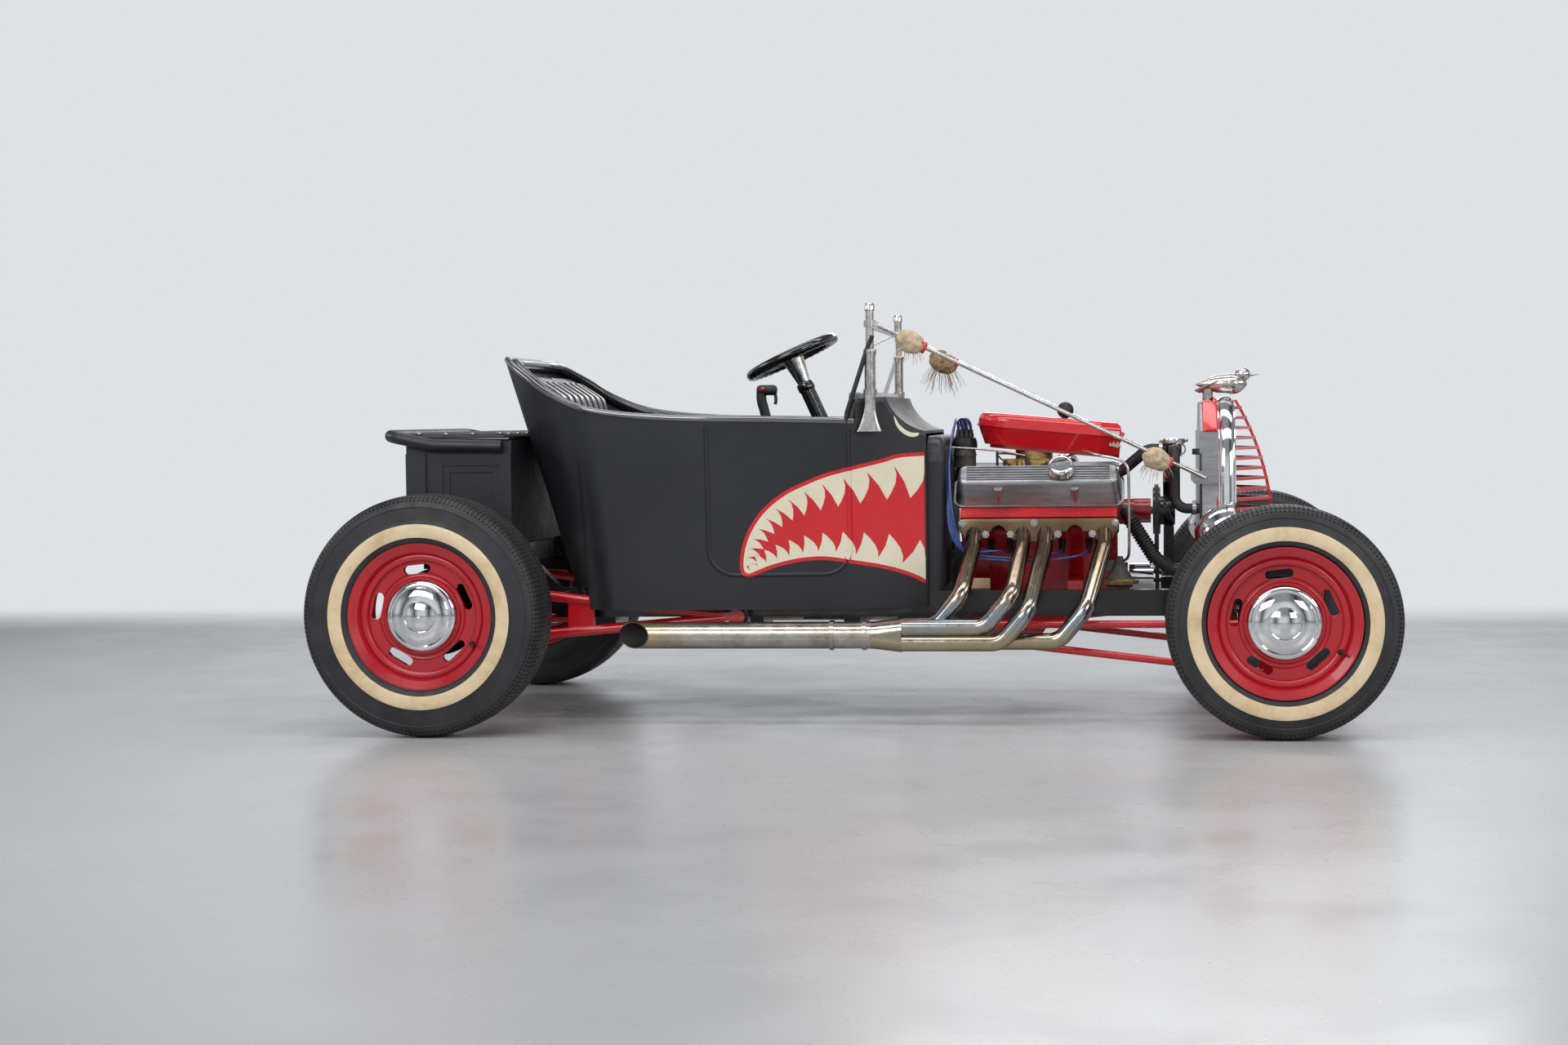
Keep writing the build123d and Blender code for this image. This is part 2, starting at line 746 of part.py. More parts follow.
# Seat
seat_low = rail_top + floor_t + seat_gap
with BuildPart() as seat_back:
    add(tub_block(wall + seat_gap, tub_bottom, tub_top))
    with BuildSketch(Plane.XZ.offset(-tub_span / 2)):
        with BuildLine():
            Polyline(
                (-1200, 1040), (-935, 1040), (-915, 1020), (-800, 640), (-720, 560), (-720, seat_low),
                (-1200, seat_low), close=True,
            )
        make_face()
    extrude(amount=tub_span, mode=Mode.INTERSECT)
    with BuildSketch(Plane.XZ.offset(-tub_span / 2)):
        with BuildLine():
            Polyline(
                (-1200, 1000), (-1020, 1062), (-961, 1004), (-908, 967),
                (-807, 920), (-700, 895), (-700, 1300),
                (-1200, 1300), close=True,
            )
        make_face()
    extrude(amount=tub_span, mode=Mode.SUBTRACT)
save(seat_back.part, "seat_back")

with BuildPart() as seat_cushion:
    with BuildSketch(Plane.XY.offset(seat_low)):
        with Locations((-540, 0)):
            RectangleRounded(350, 860, 40)
    extrude(amount=170)
    fillet(seat_cushion.faces().sort_by(Axis.Z)[-1].edges(), 30)
save(seat_cushion.part, "seat_cushion")

# Bed
bed_front = -1006
bed_rear = -1324
bed_half = 450
bed_low = rail_top + kick_rise
bed_high = 836
bed_wall = 4
with BuildPart() as bed:
    with BuildSketch(Plane.XY.offset(bed_low)):
        with Locations(((bed_front + bed_rear) / 2, 0)):
            Rectangle(bed_front - bed_rear, 2 * bed_half)
    extrude(amount=bed_high - bed_low)
    offset(amount=-bed_wall, openings=bed.faces().sort_by(Axis.Z)[-1])
rail_run = [
    (bed_front - 24, -bed_half - 18 - seat_gap, 818),
    (-1240, -bed_half - 18 - seat_gap, 824),
    (-1374, -bed_half - 18 - seat_gap, 852),
    (-1374, bed_half + 18 + seat_gap, 852),
    (-1240, bed_half + 18 + seat_gap, 824),
    (bed_front - 24, bed_half + 18 + seat_gap, 818),
]
with BuildPart() as bed_rail:
    add(tube(rail_run, 18, 40))

# stake pockets at the rear corners and a stepped frame round each side panel
stake_w = 60
stake_gap = 17
frame_top = 798
frame_band = 35
frame_step = 20
frame_proud = 8
panel_rear = bed_rear + stake_w + stake_gap
with BuildPart() as bed_sides:
    with BuildSketch(Plane.XZ.offset(-bed_half)):
        with Locations((bed_rear + stake_w / 2, (bed_low + frame_top) / 2)):
            Rectangle(stake_w, frame_top - bed_low)
    extrude(amount=-frame_proud)
    for proud, inner in ((frame_proud, frame_band), (frame_proud / 2, frame_band + frame_step)):
        with BuildSketch(Plane.XZ.offset(-bed_half)):
            with Locations(((panel_rear + bed_front) / 2, (bed_low + frame_top) / 2)):
                Rectangle(bed_front - panel_rear, frame_top - bed_low)
                Rectangle(
                    bed_front - panel_rear - 2 * inner, frame_top - bed_low - 2 * inner, mode=Mode.SUBTRACT
                )
        extrude(amount=-proud)
    mirror(about=Plane.XZ)
with BuildPart() as bed_all:
    add(bed.part)
    add(bed_rail.part)
    add(bed_sides.part)
save(bed_all.part, "bed_box")

with BuildPart() as tonneau:
    with BuildSketch(Plane.XY.offset(bed_high + seat_gap)):
        with Locations(((bed_front - 10 + bed_rear + 1) / 2, 0)):
            RectangleRounded(bed_front - bed_rear - 11, 2 * bed_half - 2, 10)
    extrude(amount=22)
    fillet(tonneau.faces().sort_by(Axis.Z)[-1].edges(), 10)
save(tonneau.part, "tonneau_cover")

# Windshield
post_x = 58
post_y = 458
post_top = 1220
post_r = 12
post_low = 955
sleeve_r = 16
sleeve_top = 1080
clamp_z = 1160
stay_end = (1016, 258, 703)
with BuildPart() as posts:
    with BuildSketch(Plane.XY.offset(post_low)):
        with Locations((post_x, post_y)):
            Circle(post_r)
    extrude(amount=post_top - post_low - 8)
    with BuildSketch(Plane.XY.offset(post_top - 8)):
        with Locations((post_x, post_y)):
            Circle(post_r)
    extrude(amount=8, taper=45)
    for low, high, radius in (
        (post_low, sleeve_top, sleeve_r),
        (post_low, post_low + 16, sleeve_r + 4),
        (sleeve_top - 10, sleeve_top, sleeve_r + 2),
        (clamp_z - 9, clamp_z + 9, post_r + 5),
    ):
        with BuildSketch(Plane.XY.offset(low)):
            with Locations((post_x, post_y)):
                Circle(radius)
        extrude(amount=high - low)
    mirror(about=Plane.XZ)

# bell-shaped stanchions that flare down over the cowl's corners
bell_low = 850
bell_foot = 76
bell_neck = 34
bell_t = 22
with BuildPart() as stanchions:
    with BuildSketch(Plane.XZ.offset(-(post_y - 2))):
        with BuildLine():
            Line((post_x - 4 - bell_foot / 2, bell_low), (post_x - 4 + bell_foot / 2, bell_low))
            ThreePointArc(
                (post_x - 4 + bell_foot / 2, bell_low),
                (post_x + bell_neck / 2 + 3, bell_low + 42),
                (post_x + bell_neck / 2, post_low - seat_gap),
            )
            Line((post_x + bell_neck / 2, post_low - seat_gap), (post_x - bell_neck / 2, post_low - seat_gap))
            ThreePointArc(
                (post_x - bell_neck / 2, post_low - seat_gap),
                (post_x - bell_neck / 2 - 5, bell_low + 42),
                (post_x - 4 - bell_foot / 2, bell_low),
            )
        make_face()
    extrude(amount=-bell_t)
    fillet(stanchions.edges().filter_by(GeomType.CIRCLE), 8)
    mirror(about=Plane.XZ)
    add(tub_block(-seat_gap, tub_bottom, tub_top), mode=Mode.SUBTRACT)

glass_t = 6
channel_h = 13
channel_low = hoop_top + seat_gap
channel_top = 1146
channel_half = post_y - sleeve_r - 4 - seat_gap
with BuildPart() as glass:
    with BuildSketch(Plane.YZ.offset(post_x - glass_t / 2)):
        with Locations((0, (channel_low + channel_h + channel_top) / 2)):
            Rectangle(2 * channel_half - 4, channel_top - channel_low - channel_h - 2 * seat_gap)
    extrude(amount=glass_t)
save(glass.part, "windshield_glass")

with BuildPart() as channel:
    for low in (channel_low, channel_top):
        with BuildSketch(Plane.YZ.offset(post_x - 9)):
            with Locations((0, low + channel_h / 2)):
                Rectangle(2 * channel_half, channel_h)
        extrude(amount=18)

with BuildPart() as stays:
    add(tube([(post_x + post_r + 8, post_y, clamp_z - 4), stay_end], 6, 0))
    with BuildSketch(Plane.XZ.offset(-(post_y - 10))):
        with Locations((post_x + 11, clamp_z - 4)):
            Rectangle(26, 20)
    extrude(amount=-20)
    mirror(about=Plane.XZ)
with BuildPart() as screen_frame:
    add(posts.part)
    add(stanchions.part)
    add(channel.part)
    add(stays.part)
save(screen_frame.part, "windshield_frame")

# Steering
box_low = 176
box_high = rail_bottom
column_len = (wheel_centre[2] - box_high) / cos(tilt)
box_x = wheel_centre[0] + (wheel_centre[2] - (box_low + box_high) / 2) * tan(tilt)
sector_z = 208
with BuildPart() as column:
    with BuildSketch(column_plane.offset(100)):
        Circle(column_r)
        Circle(shaft_r + run_fit, mode=Mode.SUBTRACT)
    extrude(amount=column_len - 100 + 8)

with BuildPart() as steering_box:
    with BuildSketch(Plane.XY.offset(box_low)):
        with Locations((box_x, 266)):
            RectangleRounded(110, 128, 18)
    extrude(amount=box_high - box_low - seat_gap)
    with BuildSketch(column_plane.offset(100)):
        Circle(shaft_r + run_fit)
    extrude(amount=column_len - 100 + 40, mode=Mode.SUBTRACT)
    with BuildSketch(Plane.XZ.offset(-250)):
        with Locations((box_x, sector_z)):
            Circle(14 + run_fit)
    extrude(amount=-120, mode=Mode.SUBTRACT)
with BuildPart() as column_all:
    add(column.part)
    add(steering_box.part)
save(column_all.part, "steering_column")

with BuildPart() as steering_wheel:
    grip_centre = hub_c + Vector(0, wheel_ring_r, 0)
    with BuildSketch(Plane(origin=grip_centre, x_dir=(0, 1, 0), z_dir=(cos(tilt), 0, sin(tilt)))):
        Circle(wheel_grip_r)
    revolve(axis=Axis(wheel_centre, (down.X, down.Y, down.Z)))
    for k in range(3):
        turn = radians(90 + 120 * k)
        along = column_plane.x_dir * cos(turn) + column_plane.y_dir * sin(turn)
        spoke = Plane(origin=hub_c - down * 2, x_dir=along, z_dir=down)
        with BuildSketch(spoke):
            with Locations(((wheel_ring_r - 5 + 24) / 2, 0)):
                Rectangle(wheel_ring_r - 5 - 24, 24)
        extrude(amount=4)
    with BuildSketch(column_plane.offset(-8)):
        Circle(36)
    extrude(amount=20)
    with BuildSketch(column_plane.offset(12)):
        Circle(34)
    extrude(amount=80, taper=10)
    with BuildSketch(column_plane.offset(92)):
        Circle(shaft_r)
    extrude(amount=column_len - 92 + 20)
save(steering_wheel.part, "steering_wheel")

pitman_y = 338
pitman_t = 14
with BuildPart() as pitman:
    with BuildSketch(Plane.XZ.offset(-pitman_y)):
        with BuildLine():
            Polyline(
                (box_x - 20, sector_z), (box_x - 13, sector_z + arm_drag), (box_x + 13, sector_z + arm_drag),
                (box_x + 20, sector_z), close=True,
            )
        make_face()
        with Locations((box_x, sector_z)):
            Circle(22)
        with Locations((box_x, sector_z + arm_drag)):
            Circle(15)
    extrude(amount=-pitman_t)
    with BuildSketch(Plane.XZ.offset(-252)):
        with Locations((box_x, sector_z)):
            Circle(14)
    extrude(amount=-(pitman_y - 252))
save(pitman.part, "pitman_arm")

# knuckles: yoke round the kingpin boss, spindle, rear arm, and on the left the drag arm
yoke_gap = 6
yoke_t = 16
spindle_out = front_track / 2 + front_rim_w / 2 - hub_face - 2
boss_top = kingpin_z + boss_h / 2
boss_low = kingpin_z - boss_h / 2
drag_arm_z = boss_top + yoke_gap
for side, name in ((-1, "right"), (1, "left")):
    with BuildPart() as knuckle:
        with BuildSketch(Plane.XY.offset(boss_low - yoke_gap - yoke_t)):
            with Locations((front_axle_x, side * kingpin_y)):
                Circle(20)
            with Locations((front_axle_x, side * (kingpin_y + 17))):
                Rectangle(40, 34)
        extrude(amount=yoke_t)
        with BuildSketch(Plane.XY.offset(boss_top + yoke_gap)):
            with Locations((front_axle_x, side * kingpin_y)):
                Circle(20)
            with Locations((front_axle_x, side * (kingpin_y + 17))):
                Rectangle(40, 34)
        extrude(amount=yoke_t)
        with BuildSketch(Plane.XY.offset(boss_low - yoke_gap - yoke_t)):
            with Locations((front_axle_x, side * (kingpin_y + 38))):
                Rectangle(64, 20)
        extrude(amount=boss_h + 2 * (yoke_gap + yoke_t))
        with BuildSketch(Plane.XZ.offset(-side * (kingpin_y + 30))):
            with Locations((front_axle_x, front_tyre_r)):
                Circle(spindle_r)
        extrude(amount=-side * (spindle_out - kingpin_y - 30))
        with BuildSketch(Plane.XZ.offset(-side * (kingpin_y + 48))):
            with Locations((front_axle_x, front_tyre_r)):
                Circle(120)
        extrude(amount=-side * 6)
        with BuildSketch(Plane.XY.offset(boss_low - yoke_gap - yoke_t)):
            with Locations((front_axle_x, side * kingpin_y)):
                Circle(kingpin_r)
        extrude(amount=boss_h + 2 * (yoke_gap + yoke_t))
        # rear steering arm
        with BuildSketch(Plane.XY.offset(boss_low - yoke_gap - yoke_t - 8)):
            with Locations((front_axle_x - arm_rear / 2, side * kingpin_y)):
                Rectangle(arm_rear, 26)
            with Locations((front_axle_x - arm_rear, side * kingpin_y)):
                Circle(15)
            with Locations((front_axle_x, side * kingpin_y)):
                Circle(20)
            with Locations((front_axle_x - arm_rear, side * kingpin_y)):
                Circle(8 + run_fit, mode=Mode.SUBTRACT)
        extrude(amount=14)
        if side > 0:
            with BuildSketch(Plane.XY.offset(drag_arm_z)):
                with Locations((front_axle_x, kingpin_y - arm_drag / 2)):
                    Rectangle(26, arm_drag)
                with Locations((front_axle_x, kingpin_y - arm_drag)):
                    Circle(15)
                with Locations((front_axle_x, kingpin_y - arm_drag)):
                    Circle(8 + run_fit, mode=Mode.SUBTRACT)
            extrude(amount=yoke_t)
    save(knuckle.part, "knuckle_" + name)

# tie rod below the rear arms
tie_x = front_axle_x - arm_rear
arm_low = boss_low - yoke_gap - yoke_t - 8
tie_axis_z = arm_low - 18
with BuildPart() as tie_rod:
    with BuildSketch(Plane.XZ.offset(-(kingpin_y + 12))):
        with Locations((tie_x, tie_axis_z)):
            Circle(11)
    extrude(amount=2 * kingpin_y + 24)
    with BuildSketch(Plane.XY.offset(tie_axis_z)):
        with Locations((tie_x, kingpin_y)):
            Circle(8)
    extrude(amount=arm_low + 12 - tie_axis_z)
save(tie_rod.part, "tie_rod")

# drag link from beside the pitman arm to the left knuckle's forward arm
link_y = pitman_y + pitman_t + 5 + 10
link_top = drag_arm_z - 6
with BuildPart() as drag_link:
    add(
        tube(
            [(box_x, link_y, sector_z + arm_drag), (front_axle_x, kingpin_y - arm_drag, link_top - 9)],
            8,
            0,
        )
    )
    with BuildSketch(Plane.XY.offset(link_top - 22)):
        with Locations((front_axle_x, kingpin_y - arm_drag)):
            Circle(14)
    extrude(amount=22)
    with BuildSketch(Plane.XY.offset(link_top - 10)):
        with Locations((front_axle_x, kingpin_y - arm_drag)):
            Circle(8)
    extrude(amount=20)
    with BuildSketch(Plane.XZ.offset(-(link_y - 10))):
        with Locations((box_x, sector_z + arm_drag)):
            Circle(14)
    extrude(amount=-20)
save(drag_link.part, "drag_link")

with BuildPart() as shifter:
    add(tube([(-250, 0, rail_top + floor_t + 20), (-262, 0, 700), (-330, 0, 975)], 9, 60))
    with BuildSketch(Plane.XY.offset(rail_top + floor_t)):
        with Locations((-250, 0)):
            Rectangle(120, 90)
    extrude(amount=26)
save(shifter.part, "shifter")

# Engine
bank = radians(bank_half)
deck_u = 373
core_plugs = (400, 540, 700)
core_plug_r = 21
mount_x = 638
mount_len = 44
port_v = 97


def bank_point(u, v):
    """Point on the left bank: u along the cylinders, v outboard and down."""
    return (u * sin(bank) + v * cos(bank), crank_z + u * cos(bank) - v * sin(bank))


half_block = [
    (0, 318),
    (110, 318),
    (150, crank_z),
    bank_point(215, 85),
    bank_point(300, port_v),
    bank_point(deck_u, port_v),
    bank_point(deck_u, -72),
    bank_point(300, -85),
    (60, 640),
    (0, 640),
]
with BuildPart() as block:
    with BuildSketch(Plane.YZ.offset(engine_rear + 20)):
        with BuildLine():
            Polyline(*half_block, *[(-y, z) for y, z in reversed(half_block[1:-1])], close=True)
        make_face()
    extrude(amount=engine_front - engine_rear - 40)
    # core plugs let into the sloping flanks
    flank_low = Vector(0, 150, crank_z)
    flank_high = Vector(0, *bank_point(215, 85))
    flank = flank_high - flank_low
    for side in (-1, 1):
        middle = (flank_low + flank_high) * 0.5
        outward = Vector(0, side * flank.Z, -flank.Y)
        with BuildSketch(Plane(origin=(0, side * middle.Y, middle.Z), x_dir=(1, 0, 0), z_dir=outward)):
            with Locations([(plug_x, 0) for plug_x in core_plugs]):
                Circle(core_plug_r)
        extrude(amount=-5, mode=Mode.SUBTRACT)
    # arms that rest the engine on the frame rails
    for side in (-1, 1):
        with BuildSketch(Plane.YZ.offset(mount_x - mount_len / 2)):
            with BuildLine():
                Polyline(
                    (side * 120, 340),
                    (side * (rail_y - rail_w / 2 - 8), rail_top + seat_gap),
                    (side * (rail_y + 12), rail_top + seat_gap),
                    (side * (rail_y + 12), rail_top + 26),
                    (side * (rail_y - 30), rail_top + 30),
                    (side * 160, crank_z + 12),
                    close=True,
                )
            make_face()
        extrude(amount=mount_len)

with BuildPart() as sump:
    with BuildSketch(Plane.XZ.offset(-105)):
        with BuildLine():
            Polyline(
                (engine_rear + 24, 318 - seat_gap),
                (engine_front - 24, 318 - seat_gap),
                (engine_front - 30, 290),
                (560, 270), (520, 216), (engine_rear + 40, 216), close=True,
            )
        make_face()
    extrude(amount=210)

# crank nose that carries the pulley
pulley_back = engine_front + 86
crank_pin_r = 14
with BuildPart() as nose:
    with BuildSketch(Plane.YZ.offset(engine_front - 20)):
        with Locations((0, crank_z)):
            Circle(46)
    extrude(amount=30)
    with BuildSketch(Plane.YZ.offset(engine_front)):
        with Locations((0, crank_z)):
            Circle(crank_pin_r)
    extrude(amount=100)
with BuildPart() as engine:
    add(block.part)
    add(sump.part)
    add(nose.part)
save(engine.part, "engine_block")

gearbox_z = 345
with BuildPart() as gearbox:
    with BuildSketch(Plane.YZ.offset(engine_rear + 20 - seat_gap)):
        with Locations((0, crank_z - 20)):
            Circle(150)
    with BuildSketch(Plane.YZ.offset(firewall_x + 56)):
        with Locations((0, crank_z - 20)):
            Circle(104)
    loft(ruled=True)
    with BuildSketch(Plane.YZ.offset(firewall_x + 56)):
        with Locations((0, crank_z - 20)):
            Circle(104)
    with BuildSketch(Plane.YZ.offset(tunnel_back + 40)):
        with Locations((0, gearbox_z)):
            Circle(46)
    loft(ruled=True)
    add(tube([(tunnel_back + 42, 0, gearbox_z), (rear_axle_x + 180 + seat_gap, 0, rear_tyre_r)], 30, 0))
save(gearbox.part, "gearbox_and_driveshaft")

# finned valve covers: a flange, a tapering rounded lid, ribs along the top and two arched bosses
cover_len = engine_front - engine_rear
cover_base = 118
cover_head = 70
cover_h = 85
cover_flange = 6
fin_count = 6
fin_pitch = 10
fin_t = 3
fin_h = 4
boss_table = (417, 639)
cover_y, cover_z = bank_point(deck_u, 2)
cover = Plane(
    origin=((engine_rear + engine_front) / 2, cover_y, cover_z),
    x_dir=(1, 0, 0),
    z_dir=(0, sin(bank), cos(bank)),
)
with BuildPart() as cover_lid:
    with BuildSketch(cover.offset(cover_flange)):
        RectangleRounded(cover_len - 10, cover_base - 10, 26)
    with BuildSketch(cover.offset(cover_h)):
        RectangleRounded(cover_len - 34, cover_head, 22)
    loft(ruled=True)
    fillet(cover_lid.faces().sort_by(Axis((0, 0, 0), cover.z_dir))[-1].edges(), 12)
with BuildPart() as covers:
    add(cover_lid.part)
    with BuildSketch(cover.offset(seat_gap)):
        RectangleRounded(cover_len, cover_base, 28)
    extrude(amount=cover_flange)
    for boss_x in boss_table:
        with BuildSketch(cover.offset(cover_flange)):
            with Locations((boss_x - (engine_rear + engine_front) / 2, cover_base / 2 - 24)):
                RectangleRounded(24, 36, 9)
        extrude(amount=cover_h - cover_flange - 18)
    with BuildSketch(cover.offset(cover_h - 1)):
        with GridLocations(0, fin_pitch, 1, fin_count):
            Rectangle(cover_len - 80, fin_t)
    extrude(amount=fin_h + 1)
    mirror(about=Plane.XZ)
save(covers.part, "valve_covers")

# push-in breather cap on the top of each valve cover
breather_x = 600
breather_r = 38
with BuildPart() as breathers:
    with BuildSketch(cover.offset(cover_h + fin_h + seat_gap)):
        with Locations((breather_x - (engine_rear + engine_front) / 2, 0)):
            Circle(24)
    extrude(amount=10)
    with BuildSketch(cover.offset(cover_h + fin_h + seat_gap + 8)):
        with Locations((breather_x - (engine_rear + engine_front) / 2, 0)):
            Circle(breather_r)
    extrude(amount=26)
    fillet(breathers.faces().sort_by(Axis((0, 0, 0), cover.z_dir))[-1].edges(), 10)
    mirror(about=Plane.XZ)
save(breathers.part, "breather_caps")

# air cleaner: a tilted scoop, round at the rear and open at the nose
cleaner_tilt = radians(5.5)
cleaner_low = 789
cleaner_x = 550
cleaner_half = 100
cleaner_rear = 216
cleaner_nose = 218
nose_half = 62
belly_h = 58
lid_h = 38
cleaner_seam = 4
pan_h = 10
pan_inset = 16
mouth_depth = 34
mouth_wall = 8
cleaner = Plane(
    origin=(cleaner_x, 0, cleaner_low),
    x_dir=(cos(cleaner_tilt), 0, -sin(cleaner_tilt)),
    z_dir=(sin(cleaner_tilt), 0, cos(cleaner_tilt)),
)


def scoop_plan(height, inset):
    """Plan outline of the air cleaner on its own tilted plane."""
    half = cleaner_half - inset
    round_x = -cleaner_rear + cleaner_half
    with BuildSketch(cleaner.offset(height)) as plan:
        with BuildLine():
            Polyline(
                (round_x, -half),
                (cleaner_nose - 60, -half),
                (cleaner_nose, -nose_half + inset),
                (cleaner_nose, nose_half - inset),
                (cleaner_nose - 60, half),
                (round_x, half),
            )
            ThreePointArc((round_x, half), (-cleaner_rear + inset, 0), (round_x, -half))
        make_face()
    return plan.sketch


with BuildPart() as scoop_lid:
    add(scoop_plan(belly_h, 1))
    extrude(amount=lid_h, dir=cleaner.z_dir)
    fillet(scoop_lid.faces().sort_by(Axis((0, 0, 0), cleaner.z_dir))[-1].edges(), 24)
with BuildPart() as air_cleaner:
    add(scoop_plan(0, 26))
    add(scoop_plan(belly_h, 0))
    loft(ruled=True)
    add(scoop_lid.part)
    add(scoop_plan(belly_h - cleaner_seam, -3))
    extrude(amount=cleaner_seam, dir=cleaner.z_dir)
    add(scoop_plan(-pan_h, 26 + pan_inset))
    extrude(amount=pan_h, dir=cleaner.z_dir)
    # the nose is cut back to a mouth
    nose_face = Plane(origin=cleaner.origin, x_dir=(0, 1, 0), z_dir=cleaner.x_dir)
    with BuildSketch(nose_face.offset(cleaner_nose + 1)):
        with Locations((0, belly_h / 2 + 14)):
            RectangleRounded(2 * nose_half - 2 * mouth_wall, belly_h - 12, 18)
    extrude(amount=-mouth_depth, mode=Mode.SUBTRACT)
save(air_cleaner.part, "air_cleaner")

knob_x = 44
knob_r = 25
knob_foot = 9
with BuildPart() as knob:
    with BuildSketch(cleaner.offset(belly_h + lid_h + seat_gap)):
        with Locations((knob_x, 0)):
            Circle(knob_foot)
    extrude(amount=knob_r)
    with Locations(cleaner.from_local_coords(Vector(knob_x, 0, belly_h + lid_h + seat_gap + knob_r))):
        Sphere(knob_r)
save(knob.part, "air_cleaner_knob")

# intake manifold, thermostat housing, carburettor and its round air horn
intake_top = 700
carb_x = 510
carb_top = 760
stat_x = 712
stat_y = -40
stat_half = 26
with BuildPart() as intake:
    with BuildSketch(Plane.XY.offset(640 + seat_gap)):
        with Locations((532, 0)):
            Rectangle(420, 118)
    extrude(amount=40)
    with BuildSketch(Plane.XY.offset(680)):
        with Locations((532, 0)):
            Rectangle(400, 80)
    extrude(amount=intake_top - 680)
    for runner_x in (400, 480, 584, 664):
        with BuildSketch(Plane.XY.offset(680)):
            with Locations((runner_x, 0)):
                Rectangle(34, 116)
        extrude(amount=14)
    with BuildSketch(Plane.XY.offset(intake_top - 4)):
        with Locations((carb_x, 0)):
            RectangleRounded(170, 134, 12)
    extrude(amount=14)
    with BuildSketch(Plane.XY.offset(intake_top)):
        with Locations((carb_x, 0)):
            RectangleRounded(120, 96, 14)
        with Locations((carb_x + 68, 0), (carb_x - 68, 0)):
            RectangleRounded(44, 112, 12)
    extrude(amount=carb_top - intake_top)
    with BuildSketch(Plane.XY.offset(carb_top)):
        with Locations((carb_x, 0)):
            Circle(56)
    extrude(amount=60)
    split(bisect_by=cleaner.offset(-pan_h - seat_gap), keep=Keep.BOTTOM)
    with BuildSketch(Plane.XY.offset(intake_top - 22)):
        with Locations((stat_x, stat_y)):
            RectangleRounded(2 * stat_half, 2 * stat_half, 10)
    extrude(amount=62)
save(intake.part, "intake_and_carburettor")

# Headers and pipes
pipe_gap = 25
header_table = [
    # port x, foot x, bundle y, bundle z
    (346, 301, main_y - pipe_gap, main_z + pipe_gap - 2),
    (488, 445, main_y + pipe_gap, main_z + pipe_gap - 2),
    (554, 492, main_y + pipe_gap, main_z - pipe_gap + 4),
    (723, 654, main_y - pipe_gap, main_z - pipe_gap + 4),
]
header_bends = [40, 60, 60]
port_plate_l = 86
port_plate_w = 62
flange_strip = 42
flange_t = 8
notch_r = 17
port_y, port_z = bank_point((deck_u + 300) / 2, port_v + seat_gap)
with BuildPart() as headers:
    for px, fx, by, bz in header_table:
        add(
            tube(
                [
                    (px, port_y + 3, port_z - 3),
                    (px - 2, port_y + 62, port_z - 62),
                    (fx + 16, by, bz + 90),
                    (fx - 60, by, bz),
                    (150, by, bz),
                ],
                pipe_r,
                header_bends,
            )
        )
    with BuildSketch(Plane(origin=(0, port_y, port_z), x_dir=(1, 0, 0), z_dir=(0, cos(bank), -sin(bank)))):
        for px, fx, by, bz in header_table:
            with Locations((px, 0)):
                RectangleRounded(port_plate_l, port_plate_w, 14)
        with Locations(((header_table[0][0] + header_table[-1][0]) / 2, 0)):
            Rectangle(header_table[-1][0] - header_table[0][0], flange_strip)
        with Locations((boss_table[0], flange_strip / 2), (boss_table[1], flange_strip / 2)):
            Circle(notch_r, mode=Mode.SUBTRACT)
    extrude(amount=flange_t)
    with BuildSketch(Plane.YZ.offset(150)):
        with Locations((main_y, main_z)):
            RectangleRounded(100, 98, 40)
    with BuildSketch(Plane.YZ.offset(60)):
        with Locations((main_y, main_z)):
            Circle(main_pipe_r)
    loft(ruled=True)
    mirror(about=Plane.XZ)
save(headers.part, "headers")

slash_front = -575
pipe_end = -691
with BuildPart() as pipes:
    with BuildSketch(Plane.YZ.offset(60 - seat_gap)):
        with Locations((main_y, main_z)):
            Circle(main_pipe_r)
            Circle(main_pipe_r - pipe_wall, mode=Mode.SUBTRACT)
    extrude(amount=pipe_end - 60)
    with BuildSketch(Plane.XY.offset(main_z - 60)):
        with BuildLine():
            Polyline(
                (slash_front, main_y + 45),
                (pipe_end, main_y - 45),
                (pipe_end - 60, main_y - 45),
                (pipe_end - 60, main_y + 45),
                close=True,
            )
        make_face()
    extrude(amount=120, mode=Mode.SUBTRACT)
    for seam in (41, -53):
        with BuildSketch(Plane.YZ.offset(seam - 6)):
            with Locations((main_y, main_z)):
                Circle(main_pipe_r + 4)
                Circle(main_pipe_r - pipe_wall, mode=Mode.SUBTRACT)
        extrude(amount=12)
    mirror(about=Plane.XZ)
save(pipes.part, "exhaust_pipes")

# Cooling and front end
pump_z = 600
with BuildPart() as pump:
    with BuildSketch(Plane.YZ.offset(engine_front - 20 + seat_gap)):
        with Locations((0, pump_z)):
            RectangleRounded(190, 78, 30)
    extrude(amount=50)
    with BuildSketch(Plane.YZ.offset(engine_front + 30)):
        with Locations((0, pump_z)):
            Circle(38)
    extrude(amount=50)
    with BuildSketch(Plane.YZ.offset(engine_front + 80)):
        with Locations((0, pump_z)):
            Circle(12)
    extrude(amount=70)
save(pump.part, "water_pump")

